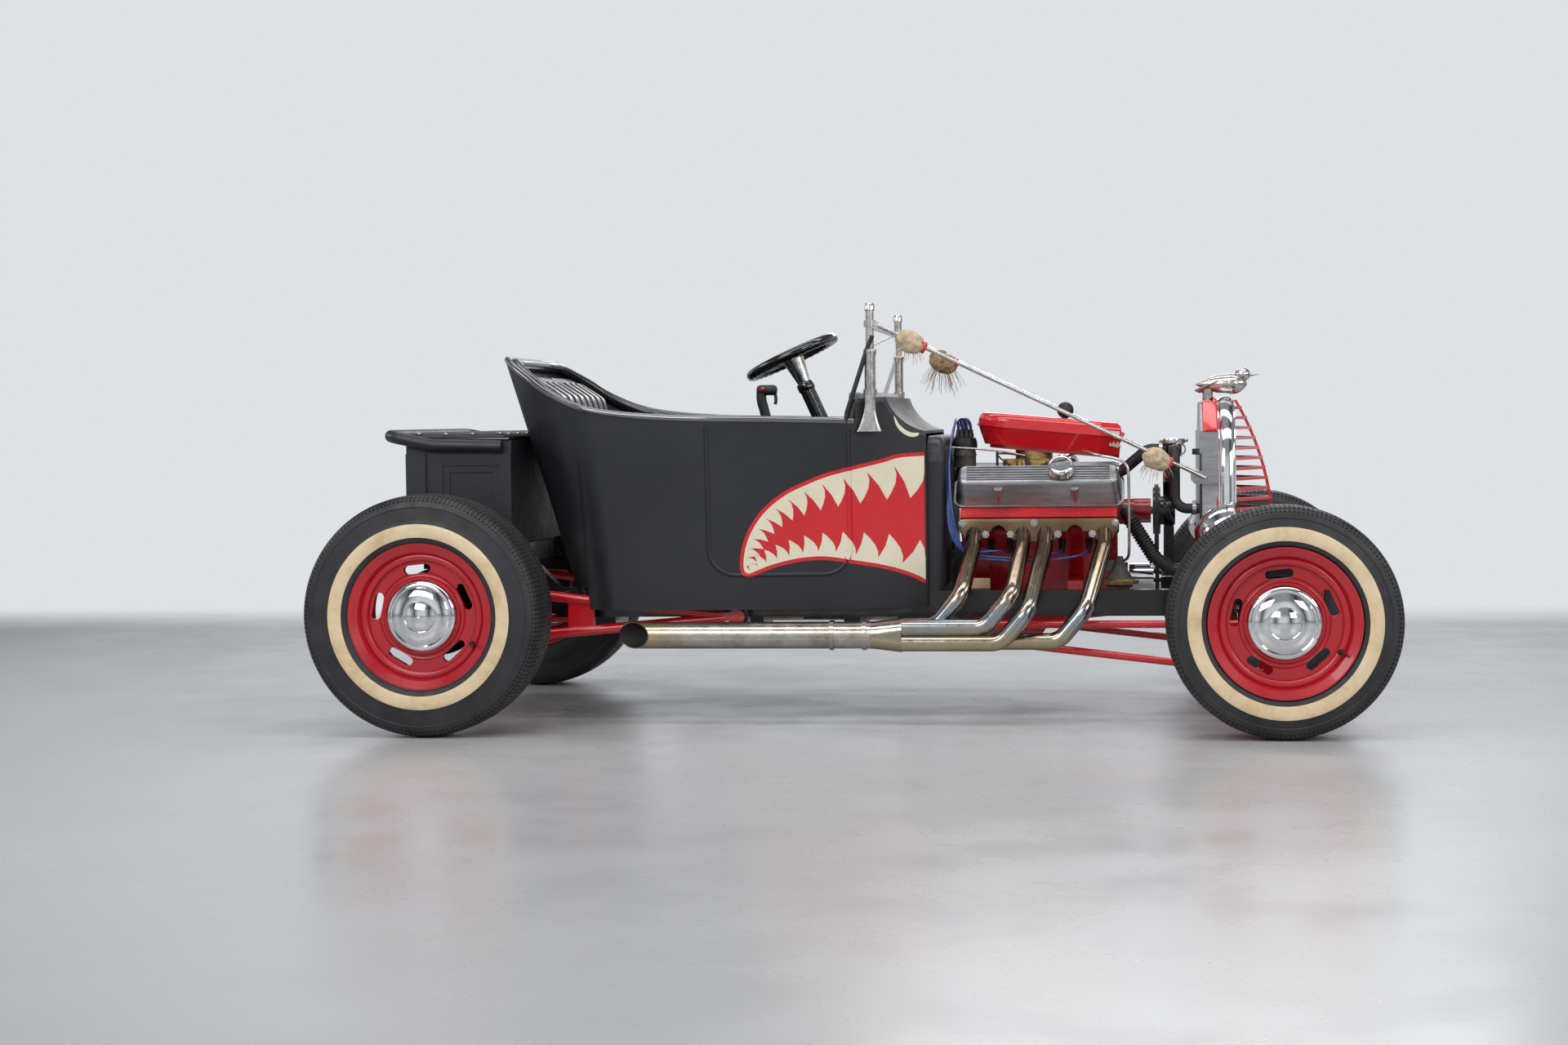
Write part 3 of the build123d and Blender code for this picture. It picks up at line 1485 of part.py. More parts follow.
fan_r = 168
with BuildPart() as fan:
    with BuildSketch(Plane.YZ.offset(engine_front + 86)):
        with Locations((0, pump_z)):
            Circle(72)
    extrude(amount=22)
    with BuildSketch(Plane.YZ.offset(engine_front + 108)):
        with Locations((0, pump_z)):
            Circle(44)
    extrude(amount=44)
    for k in range(6):
        turn = radians(60 * k)
        out = Vector(0, cos(turn), sin(turn))
        across = Vector(0.45, -sin(turn), cos(turn)).normalized()
        blade = Plane(origin=(engine_front + 132, 0, pump_z), x_dir=out, z_dir=out.cross(across))
        with BuildSketch(blade):
            with Locations(((fan_r + 40) / 2, 0)):
                Rectangle(fan_r - 40, 70)
        extrude(amount=3)
    with BuildSketch(Plane.YZ.offset(engine_front + 80)):
        with Locations((0, pump_z)):
            Circle(12 + run_fit)
    extrude(amount=90, mode=Mode.SUBTRACT)
save(fan.part, "fan")

# radiator core with a top tank, side straps and the tabs that the stay rods meet
fan_room = 220
rad_back = engine_front + fan_room
rad_depth = 56
rad_front = rad_back + rad_depth
rad_x = (rad_back + rad_front) / 2
rad_half = 230
rad_low = rail_top + 20
rad_high = 840
tank_half = 130
tank_top = 924
tab_low = 685
tab_high = 722
tab_len = 71
with BuildPart() as radiator:
    with BuildSketch(Plane.XY.offset(rad_low)):
        with Locations((rad_x, 0)):
            Rectangle(rad_depth, 2 * rad_half)
    extrude(amount=rad_high - rad_low)
    with BuildSketch(Plane.YZ.offset(rad_back + 4)):
        with BuildLine():
            Polyline(
                (-rad_half + 10, rad_high),
                (-tank_half, tank_top),
                (tank_half, tank_top),
                (rad_half - 10, rad_high),
                close=True,
            )
        make_face()
    extrude(amount=rad_depth - 8)
    fillet(radiator.edges().filter_by(Axis.X).group_by(Axis.Z)[-1], 40)
    with BuildSketch(Plane.XY.offset(tab_low)):
        with Locations((rad_front - tab_len / 2, 0)):
            Rectangle(tab_len, 2 * (stay_end[1] - 6.5))
    extrude(amount=tab_high - tab_low)
save(radiator.part, "radiator")

with BuildPart() as hanger:
    with BuildSketch(Plane.XY.offset(rail_bottom + 8 + cross_h)):
        with Locations((rad_x - 4, 0)):
            Rectangle(50, 300)
    extrude(amount=rad_low - seat_gap - rail_bottom - 8 - cross_h)

lamp_x = 981
lamp_y = 400
lamp_z = 542
lamp_r = 89
with BuildPart() as lamp_arms:
    with BuildSketch(Plane.XY.offset(rail_top + seat_gap)):
        with Locations((1032, (rail_y + lamp_y) / 2)):
            Rectangle(26, lamp_y - rail_y + 24)
    extrude(amount=12)
    mirror(about=Plane.XZ)
with BuildPart() as brackets:
    add(hairpin_mounts.part)
    add(bar_mounts.part)
    add(perch.part)
    add(hanger.part)
    add(lamp_arms.part)
save(brackets.part, "frame_brackets")

with BuildPart() as lamps:
    lamp_plane = Plane(origin=(lamp_x, lamp_y, lamp_z), x_dir=(1, 0, 0), z_dir=(0, -1, 0))
    with BuildSketch(lamp_plane):
        with BuildLine():
            Line((0, 0), (0, 12))
            ThreePointArc((0, 12), (34, 66), (88, lamp_r))
            Polyline((88, lamp_r), (92, lamp_r + 4), (108, lamp_r + 4), (112, lamp_r - 6))
            ThreePointArc((112, lamp_r - 6), dome_mid(lamp_r - 6, 112, 16)[::-1], (128, 0))
            Line((128, 0), (0, 0))
        make_face()
    revolve(axis=Axis((lamp_x, lamp_y, lamp_z), (1, 0, 0)))
    with BuildSketch(Plane.XY.offset(rail_top + seat_gap + 12 + seat_gap)):
        with Locations((1032, lamp_y)):
            Circle(11)
    extrude(amount=lamp_z - 60 - rail_top - 12)
    mirror(about=Plane.XZ)
save(lamps.part, "headlamps")

with BuildPart() as tail_lamps:
    with BuildSketch(Plane.YZ.offset(bed_rear - seat_gap)):
        with Locations((370, 600)):
            Circle(42)
    extrude(amount=-34)
    with BuildSketch(Plane.YZ.offset(bed_rear - seat_gap - 34)):
        with Locations((370, 600)):
            Circle(38)
    extrude(amount=-8, taper=30)
    mirror(about=Plane.XZ)
save(tail_lamps.part, "tail_lamps")

# grille shell: a chrome surround of arcs, open to the radiator
shell_x = rad_front + seat_gap
shell_d = 50
shell_band = 14
shell_low = 470
shell_high = 930
belly_z = 615
belly_half = 225
shoulder_z = 780
crown_z = 720
crown_r = 216
shoulder_half = sqrt(crown_r**2 - (shoulder_z - crown_z) ** 2)
shell_bulge = belly_half - shoulder_half
side_r = ((shoulder_z - belly_z) ** 2 + shell_bulge**2) / (2 * shell_bulge)


def shell_half(z):
    """Half width of the grille shell at height z."""
    if z > shoulder_z:
        return sqrt(crown_r**2 - (z - crown_z) ** 2)
    return belly_half - side_r + sqrt(side_r**2 - (z - belly_z) ** 2)


crown_mid = (shoulder_z + shell_high) / 2
with BuildPart() as grille_shell:
    with BuildSketch(Plane.YZ.offset(shell_x)):
        with BuildLine():
            Line((-shell_half(shell_low), shell_low), (shell_half(shell_low), shell_low))
            Line((-shell_half(shell_high), shell_high), (shell_half(shell_high), shell_high))
            for side in (-1, 1):
                ThreePointArc(
                    (side * shell_half(shell_low), shell_low),
                    (side * belly_half, belly_z),
                    (side * shoulder_half, shoulder_z),
                )
                ThreePointArc(
                    (side * shoulder_half, shoulder_z),
                    (side * shell_half(crown_mid), crown_mid),
                    (side * shell_half(shell_high), shell_high),
                )
        make_face()
        offset(amount=-shell_band, mode=Mode.SUBTRACT)
    extrude(amount=shell_d)
save(grille_shell.part, "grille_shell")

# bars bent to a V, joined by a spine that follows the nose's arc
nose_out = 120
nose_z = 525
nose_r = 805


def nose_x(z):
    """Foremost place of the grille's centre line at height z."""
    return shell_x + shell_d + nose_out - nose_r + sqrt(nose_r**2 - (z - nose_z) ** 2)


bar_pitch = 30
bar_t = 9
bar_d = 12
bar_foot = 12
spine_t = 9
bar_count = 1 + int((shell_high - shell_low - bar_foot - bar_t) / bar_pitch)
bar_back = shell_x + shell_d + seat_gap
with BuildPart() as bars:
    for k in range(bar_count):
        z = shell_low + bar_foot + k * bar_pitch
        w = shell_half(z) - shell_band / 2
        tip = nose_x(z)
        with BuildSketch(Plane.XY.offset(z)):
            with BuildLine():
                Polyline(
                    (bar_back, w), (tip, 3), (tip, -3), (bar_back, -w),
                    (bar_back, -w + bar_d), (tip - bar_d, 0), (bar_back, w - bar_d), close=True,
                )
            make_face()
        extrude(amount=bar_t)
    with BuildSketch(Plane.XZ.offset(-4)):
        with BuildLine():
            ThreePointArc(
                (nose_x(shell_low), shell_low),
                (nose_x(belly_z), belly_z),
                (nose_x(shell_high), shell_high),
            )
            Line((nose_x(shell_high), shell_high), (nose_x(shell_high) - spine_t, shell_high))
            ThreePointArc(
                (nose_x(shell_high) - spine_t, shell_high),
                (nose_x(belly_z) - spine_t, belly_z),
                (nose_x(shell_low) - spine_t, shell_low),
            )
            Line((nose_x(shell_low) - spine_t, shell_low), (nose_x(shell_low), shell_low))
        make_face()
    extrude(amount=8)
save(bars.part, "grille_bars")

# hood ornament: a streamlined bird on a short pedestal
bird_z = 978
with BuildPart() as ornament:
    with BuildSketch(Plane.XZ):
        with BuildLine():
            Line((996, bird_z), (1148, bird_z))
            Line((1148, bird_z), (1148, bird_z + 3))
            ThreePointArc((1148, bird_z + 3), (1128, bird_z + 24), (1092, bird_z + 30))
            ThreePointArc((1092, bird_z + 30), (1036, bird_z + 20), (996, bird_z + 2))
            Line((996, bird_z + 2), (996, bird_z))
        make_face()
    revolve(axis=Axis((0, 0, bird_z), (1, 0, 0)))
    with BuildSketch(Plane.XZ):
        with BuildLine():
            Polyline((1112, 1006), (1182, 1006), (1182, 1007), (1157, 1013))
            ThreePointArc((1157, 1013), (1134, 1027), (1112, 1009))
            Line((1112, 1009), (1112, 1006))
        make_face()
    revolve(axis=Axis((0, 0, 1006), (1, 0, 0)))
    for side in (-1, 1):
        wing_lean = Vector(-0.2, side * -0.62, 0.75)
        wing = Plane(origin=(1100, side * 12, bird_z + 4), x_dir=(-1, 0, 0.32), z_dir=wing_lean)
        with BuildSketch(wing):
            with BuildLine():
                Polyline(
                    (-20, -side * 6), (40, -side * 6), (104, side * 34), (88, side * 44), (-6, side * 26),
                    close=True,
                )
            make_face()
        extrude(amount=5)
    with BuildSketch(Plane.XY.offset(tank_top + seat_gap)):
        with Locations((rad_x + 3, 0)):
            Circle(16)
    extrude(amount=40)
save(ornament.part, "ornament")

# crank pulley and belt
pump_pulley_r = 72
crank_pulley_r = 80
with BuildPart() as crank_pulley:
    with BuildSketch(Plane.YZ.offset(engine_front + 14)):
        with Locations((0, crank_z)):
            Circle(40)
    extrude(amount=72)
    with BuildSketch(Plane.YZ.offset(pulley_back)):
        with Locations((0, crank_z)):
            Circle(crank_pulley_r)
    extrude(amount=22)
    with BuildSketch(Plane.YZ.offset(engine_front + 12)):
        with Locations((0, crank_z)):
            Circle(crank_pin_r + run_fit)
    extrude(amount=120, mode=Mode.SUBTRACT)
save(crank_pulley.part, "crank_pulley")

belt_gap = 0.4
with BuildPart() as belt:
    for extra, mode in ((8, Mode.ADD), (belt_gap, Mode.SUBTRACT)):
        with BuildSketch(Plane.YZ.offset(pulley_back + 5)):
            with BuildLine():
                CenterArc((0, pump_z), pump_pulley_r + extra, 0, 360)
                CenterArc((0, crank_z), crank_pulley_r + extra, 0, 360)
            make_hull()
        extrude(amount=12, mode=mode)
save(belt.part, "fan_belt")

# ignition distributor, starter motor, fuel pump and the radiator filler neck
distributor_x = engine_rear + 15
neck_x = 929
neck_y = -70
neck_z = 785
neck_r = 22
pump_bell_x = 766
pump_bell_y = -238
bell_z = 384
pump_arm_top = 462
flank_y = flank_low.Y + (pump_arm_top - flank_low.Z) * flank.Y / flank.Z + seat_gap
with BuildPart() as distributor:
    with BuildSketch(Plane.XY.offset(640 + seat_gap)):
        with Locations((distributor_x, 0)):
            Circle(15)
    extrude(amount=100)
    with BuildSketch(Plane.XY.offset(736)):
        with Locations((distributor_x, 0)):
            Circle(34)
    extrude(amount=34)
    with BuildSketch(Plane.XY.offset(770)):
        with Locations((distributor_x, 0)):
            Circle(36)
    extrude(amount=40, taper=12)
    with BuildSketch(Plane.XY.offset(808)):
        with Locations((distributor_x, 0)):
            Circle(8)
    extrude(amount=14)
with BuildPart() as starter:
    with BuildSketch(Plane.YZ.offset(engine_rear + 20)):
        with Locations((-174, 330)):
            Circle(38)
    extrude(amount=170)
with BuildPart() as fuel_pump:
    with BuildSketch(Plane.XZ.offset(-pump_bell_y)):
        with BuildLine():
            Polyline((pump_bell_x, bell_z), (pump_bell_x + 38, bell_z), (pump_bell_x + 38, bell_z + 14))
            Line((pump_bell_x + 38, bell_z + 14), (pump_bell_x + 45, bell_z + 18))
            ThreePointArc(
                (pump_bell_x + 45, bell_z + 18),
                (pump_bell_x + 30, bell_z + 40),
                (pump_bell_x + 18, bell_z + 64),
            )
            Polyline((pump_bell_x + 18, bell_z + 64), (pump_bell_x + 10, bell_z + 90), (pump_bell_x, bell_z + 90))
            Line((pump_bell_x, bell_z + 90), (pump_bell_x, bell_z))
        make_face()
    revolve(axis=Axis((pump_bell_x, pump_bell_y, 0), (0, 0, 1)))
    with BuildSketch(Plane.XY.offset(bell_z + 48)):
        with Locations((pump_bell_x - 22, (pump_bell_y - flank_y) / 2)):
            Rectangle(44, -pump_bell_y - flank_y)
    extrude(amount=pump_arm_top - bell_z - 48)
with BuildPart() as filler_neck:
    with BuildSketch(Plane.XY.offset(neck_z - neck_r)):
        with Locations((neck_x, neck_y)):
            Circle(neck_r)
    extrude(amount=neck_r + 19)
    with BuildSketch(Plane.XY.offset(neck_z + 19)):
        with Locations((neck_x, neck_y)):
            Circle(neck_r + 10)
    extrude(amount=11)
    fillet(filler_neck.faces().sort_by(Axis.Z)[-1].edges(), 3)
with BuildPart() as fittings:
    add(distributor.part)
    add(starter.part)
    add(fuel_pump.part)
    add(filler_neck.part)
save(fittings.part, "engine_fittings")

hose_r = 19
neck_hose_r = 17
side_hose_r = 15
side_hose_y = -212
hose_start = engine_front + 8
hose_reach = rad_back - hose_start
lower_hose = [
    (hose_start, -95 - seat_gap, pump_z - 2),
    (hose_start, -150, pump_z - 2),
    (hose_start + 0.37 * hose_reach, -186, 470),
    (hose_start + 0.62 * hose_reach, -186, 430),
    (rad_back - seat_gap, -186, 430),
]
upper_hose = [
    (stat_x + stat_half + seat_gap, stat_y, intake_top + 18),
    (stat_x + stat_half + 34, stat_y, intake_top + 18),
    (neck_x - 78, neck_y, neck_z),
    (neck_x - neck_r - seat_gap, neck_y, neck_z),
]
side_hose = [
    (neck_x, neck_y - neck_r - seat_gap, neck_z),
    (neck_x, side_hose_y, neck_z),
    (neck_x, side_hose_y, pump_z + 12),
    (rad_back - seat_gap, side_hose_y, pump_z + 12),
]
with BuildPart() as hoses:
    add(tube(lower_hose, hose_r, 24))
    add(tube(upper_hose, neck_hose_r, 36))
    add(tube(side_hose, side_hose_r, 36))
save(hoses.part, "radiator_hoses")
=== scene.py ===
import json
import math
import random

import bmesh
import bpy
from mathutils import Matrix, Vector

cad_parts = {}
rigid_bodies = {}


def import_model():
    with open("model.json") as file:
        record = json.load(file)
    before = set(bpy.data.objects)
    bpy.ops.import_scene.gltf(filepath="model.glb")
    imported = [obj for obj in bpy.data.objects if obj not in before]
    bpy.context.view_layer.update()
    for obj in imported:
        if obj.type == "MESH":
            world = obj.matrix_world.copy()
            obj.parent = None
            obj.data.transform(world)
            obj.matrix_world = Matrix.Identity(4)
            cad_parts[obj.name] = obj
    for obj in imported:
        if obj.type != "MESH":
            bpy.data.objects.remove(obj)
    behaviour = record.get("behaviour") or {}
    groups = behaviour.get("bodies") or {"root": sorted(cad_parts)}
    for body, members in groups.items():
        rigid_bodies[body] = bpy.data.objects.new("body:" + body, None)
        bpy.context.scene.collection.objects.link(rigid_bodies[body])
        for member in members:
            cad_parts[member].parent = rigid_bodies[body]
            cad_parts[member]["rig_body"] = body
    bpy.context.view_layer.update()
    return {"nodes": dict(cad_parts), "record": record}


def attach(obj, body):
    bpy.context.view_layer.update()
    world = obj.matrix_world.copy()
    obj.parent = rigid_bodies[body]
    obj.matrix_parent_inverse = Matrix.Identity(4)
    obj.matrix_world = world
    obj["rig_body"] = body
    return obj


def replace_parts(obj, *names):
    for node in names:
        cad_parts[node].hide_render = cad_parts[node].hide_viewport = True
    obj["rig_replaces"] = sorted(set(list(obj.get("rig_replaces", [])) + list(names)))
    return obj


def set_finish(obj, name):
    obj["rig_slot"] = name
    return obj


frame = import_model()
for thing in bpy.data.objects:
    thing.select_set(False)

# Street rod roadster, in metres. +X is the front, +Y the car's left, +Z up.
FRONT_AXLE = 1.212
REAR_AXLE = -1.188
WHEELS = {
    # name: (axle x, middle y, tyre radius, tyre width)
    "front_right": (FRONT_AXLE, -0.723, 0.320, 0.200),
    "front_left": (FRONT_AXLE, 0.723, 0.320, 0.200),
    "rear_right": (REAR_AXLE, -0.725, 0.344, 0.236),
    "rear_left": (REAR_AXLE, 0.725, 0.344, 0.236),
}


# Camera: the photograph's place, looking at the car's right side.
def place_camera():
    yaw, pitch, roll = math.radians(-7.651), math.radians(2.275), math.radians(-0.687)
    right = Vector((math.cos(yaw), -math.sin(yaw), 0))
    ahead = Vector((math.sin(yaw) * math.cos(pitch), math.cos(yaw) * math.cos(pitch), -math.sin(pitch)))
    up = right.cross(ahead)
    side = right * math.cos(roll) + up * math.sin(roll)
    top = up * math.cos(roll) - right * math.sin(roll)
    camera = bpy.data.objects.new("camera", bpy.data.cameras.new("camera"))
    bpy.context.scene.collection.objects.link(camera)
    turn = Matrix((side, top, -ahead)).transposed().to_4x4()
    camera.matrix_world = Matrix.Translation((0.80326, -7.90729, 0.88710)) @ turn
    camera.data.sensor_width = 36.0
    camera.data.lens = 59.52
    bpy.context.scene.camera = camera


place_camera()


# Finishes. Each is a node material on Object coordinates.
def paint(r, g, b):
    """A screen colour, 0 to 255, as the linear colour that the shader wants."""
    linear = [((c / 255 + 0.055) / 1.055) ** 2.4 if c > 10 else c / 255 / 12.92 for c in (r, g, b)]
    return (*linear, 1.0)


class Nodes:
    """A node tree of a material or the world, and the steps that both are wired from."""

    def __init__(self, tree):
        self.tree = tree

    def node(self, kind, **values):
        made = self.tree.nodes.new(kind)
        for key, value in values.items():
            setattr(made, key, value)
        return made

    def wire(self, source, target):
        self.tree.links.new(source, target)

    def feed(self, socket, value):
        """A socket takes a constant or another node's output."""
        if isinstance(value, (tuple, float, int)):
            socket.default_value = value
        elif value is not None:
            self.wire(value, socket)

    def ramp(self, source, *stops):
        """Colours or greys at places between 0 and 1."""
        ramp = self.node("ShaderNodeValToRGB")
        bar = ramp.color_ramp.elements
        while len(bar) < len(stops):
            bar.new(0.5)
        for element, (at, value) in zip(bar, stops):
            element.position = at
            element.color = value if len(value) == 4 else (*value, 1)
        self.wire(source, ramp.inputs["Fac"])
        return ramp.outputs["Color"]

    def grey(self, source, low_at, low, high_at, high):
        return self.ramp(source, (low_at, (low,) * 3), (high_at, (high,) * 3))

    def maths(self, kind, *values):
        step = self.node("ShaderNodeMath", operation=kind)
        for socket, value in zip(step.inputs, values):
            self.feed(socket, value)
        return step.outputs["Value"]

    def blend(self, share, below, above, how="MIX"):
        mix = self.node("ShaderNodeMix", data_type="RGBA", blend_type=how)
        for socket, value in ((mix.inputs[0], share), (mix.inputs[6], below), (mix.inputs[7], above)):
            self.feed(socket, value)
        return mix.outputs[2]

    def mixed(self, share, below, above):
        mix = self.node("ShaderNodeMixShader")
        for socket, value in zip(mix.inputs, (share, below, above)):
            self.wire(value, socket)
        return mix.outputs[0]

    def seen_straight(self):
        """1 for what the camera sees, also through glass, and 0 for what lights or is mirrored."""
        rays = self.node("ShaderNodeLightPath").outputs
        return self.maths("MAXIMUM", rays["Is Camera Ray"], rays["Is Transmission Ray"])


class Finish(Nodes):
    """One material: its shader, and the few kinds of detail that the car's finishes share."""

    def __init__(self, name, colour, rough, metal=0.0, coat=0.0, specular=0.5, sheen=0.0):
        self.material = bpy.data.materials.new(name)
        self.material.use_nodes = True
        super().__init__(self.material.node_tree)
        self.shader = self.tree.nodes["Principled BSDF"]
        for socket, value in (("Base Color", colour), ("Roughness", rough), ("Metallic", metal),
                              ("Coat Weight", coat), ("Coat Roughness", 0.06),
                              ("Specular IOR Level", specular), ("Sheen Weight", sheen)):
            self.shader.inputs[socket].default_value = value
        self.place = self.node("ShaderNodeTexCoord").outputs["Object"]

    def stretched(self, scale):
        """Object coordinates scaled differently along each axis, for grain with a direction."""
        mapping = self.node("ShaderNodeMapping")
        mapping.inputs["Scale"].default_value = scale
        self.wire(self.place, mapping.inputs["Vector"])
        return mapping.outputs["Vector"]

    def cloud(self, scale, detail=4.0, rough=0.55, where=None):
        noise = self.node("ShaderNodeTexNoise")
        for socket, value in (("Scale", scale), ("Detail", detail), ("Roughness", rough)):
            noise.inputs[socket].default_value = value
        self.wire(where or self.place, noise.inputs["Vector"])
        return noise.outputs["Fac"]

    def cells(self, scale):
        cell = self.node("ShaderNodeTexVoronoi")
        cell.inputs["Scale"].default_value = scale
        self.wire(self.place, cell.inputs["Vector"])
        return cell.outputs["Distance"]

    def axes(self):
        parts = self.node("ShaderNodeSeparateXYZ")
        self.wire(self.place, parts.inputs[0])
        return parts.outputs

    def colour(self, source):
        self.wire(source, self.shader.inputs["Base Color"])

    def roughness(self, source):
        self.wire(source, self.shader.inputs["Roughness"])

    def relief(self, source, depth, strength):
        """Height detail; one relief goes over another."""
        bump = self.node("ShaderNodeBump")
        bump.inputs["Strength"].default_value = strength
        bump.inputs["Distance"].default_value = depth
        self.wire(source, bump.inputs["Height"])
        old = self.shader.inputs["Normal"].links
        if old:
            self.wire(old[0].from_socket, bump.inputs["Normal"])
        self.wire(bump.outputs["Normal"], self.shader.inputs["Normal"])


def mottled(name, base, rough, shades=(), gloss=(), bump=(), **shader):
    """A finish whose colour, gloss and height each follow a cloud of their own.

    Each is given as the cloud's values first and then what it drives: colour stops, two places with
    their roughness, or the height's depth and strength.
    """
    made = Finish(name, base, rough, **shader)
    if shades:
        made.colour(made.ramp(made.cloud(*shades[0]), *shades[1:]))
    if gloss:
        made.roughness(made.grey(made.cloud(*gloss[0]), *gloss[1:]))
    if bump:
        made.relief(made.cloud(*bump[0]), *bump[1:])
    return made


def painted(name, colour, deep, rough, coat, wear=0.08):
    """Sprayed paint: faint orange peel, slight clouding and handling marks."""
    return mottled(name, colour, rough, ((3.5, 5), (0.35, deep), (0.65, colour)),
                   ((22, 6, 0.65), 0.35, rough - wear, 0.7, rough + wear), ((420, 2), 0.0002, 0.25),
                   coat=coat)


def satin_black():
    made = painted("satin_black_paint", paint(40, 41, 44), paint(33, 34, 37), 0.42, 0.0)
    made.relief(made.cloud(5, 2), 0.004, 0.12)
    return made


def engine_enamel():
    """Red enamel over rough castings, with grime in places."""
    made = painted("engine_red_enamel", paint(206, 22, 30), paint(164, 12, 20), 0.3, 0.6)
    grime = made.grey(made.cloud(9, 8, 0.7), 0.5, 0.0, 0.72, 0.55)
    clean = made.shader.inputs["Base Color"].links[0].from_socket
    made.colour(made.blend(grime, clean, paint(70, 14, 14)))
    made.relief(made.cloud(160, 5), 0.0008, 0.35)
    return made


def headers_heat_and_highlight():
    """Plated header tube, gold and brown where it runs hot, with a painted blue highlight between."""
    made = mottled("heat_stained_plate_painted_highlight", (0.6, 0.53, 0.42, 1), 0.16,
                   gloss=((45, 7, 0.7), 0.3, 0.1, 0.8, 0.34), metal=1.0)
    height = made.maths("MULTIPLY_ADD", made.axes()[2], 3.2, -0.72)
    warped = made.maths("ADD", height, made.grey(made.cloud(7, 4), 0.2, -0.25, 0.8, 0.25))
    # By height: gold and brown heat colour, and a painted bluish highlight band at mid height.
    heat_and_highlight_tint = made.ramp(warped, (0.0, (0.36, 0.29, 0.18)), (0.2, (0.46, 0.39, 0.26)), (0.42, (0.33, 0.38, 0.42)),
                     (0.6, (0.40, 0.36, 0.30)), (0.8, (0.30, 0.23, 0.16)), (1.0, (0.20, 0.14, 0.10)))
    specks = made.grey(made.cloud(60, 7, 0.75), 0.5, 0.0, 0.8, 0.6)
    made.colour(made.blend(specks, heat_and_highlight_tint, (0.22, 0.17, 0.12, 1)))
    return made


def pipe_plate():
    """Dull plating on the long pipes, browned towards their open ends."""
    made = mottled("pipe_plate", (0.6, 0.58, 0.54, 1), 0.2,
                   gloss=((50, 7, 0.7), 0.3, 0.14, 0.8, 0.38), metal=1.0)
    plating = made.ramp(made.cloud(14, 7, 0.7), (0.3, (0.3, 0.27, 0.22)), (0.6, (0.52, 0.49, 0.44)))
    along = made.maths("MULTIPLY_ADD", made.axes()[0], -4.0, -1.75)
    made.colour(made.blend(made.grey(along, 0.0, 0.0, 0.9, 0.85), plating, (0.46, 0.31, 0.12, 1)))
    return made


def cast_aluminium():
    """Polished once and gone grey since, with grain along the casting."""
    made = mottled("grey_cast_aluminium", (0.42, 0.42, 0.43, 1), 0.38,
                   gloss=((24, 6, 0.7), 0.3, 0.26, 0.75, 0.5), bump=((260, 4), 0.0004, 0.3), metal=1.0)
    grain = made.cloud(70, 4, 0.7, made.stretched((0.12, 1, 1)))
    made.colour(made.ramp(grain, (0.3, (0.3, 0.3, 0.31)), (0.72, (0.5, 0.5, 0.51))))
    return made


def black_vinyl():
    """Glossy trim vinyl with a fine leather grain."""
    made = mottled("black_glossy_vinyl", paint(27, 26, 28), 0.22,
                   ((6, 4), (0.3, paint(21, 20, 22)), (0.7, paint(34, 33, 36))),
                   ((14, 5), 0.3, 0.18, 0.75, 0.34), coat=0.6, specular=0.8)
    made.relief(made.cells(520), 0.0005, 0.28)
    return made


def cover_vinyl():
    made = mottled("black_cover_cloth", paint(30, 30, 31), 0.46,
                   gloss=((12, 5), 0.3, 0.36, 0.75, 0.58), sheen=0.1)
    made.relief(made.cells(420), 0.0005, 0.45)
    return made


def window_glass():
    made = mottled("flat_glass", (0.96, 0.985, 0.98, 1), 0.02, gloss=((20, 6, 0.7), 0.5, 0.01, 0.8, 0.1))
    made.shader.inputs["Transmission Weight"].default_value = 1.0
    made.shader.inputs["IOR"].default_value = 1.05
    return made


def lamp_red():
    made = Finish("red_lamp_glass", paint(150, 8, 14), 0.12, coat=0.8)
    made.relief(made.cells(90), 0.001, 0.4)
    return made


def metallic(made, share):
    """The same finish over bare metal."""
    made.shader.inputs["Metallic"].default_value = share
    return made.material


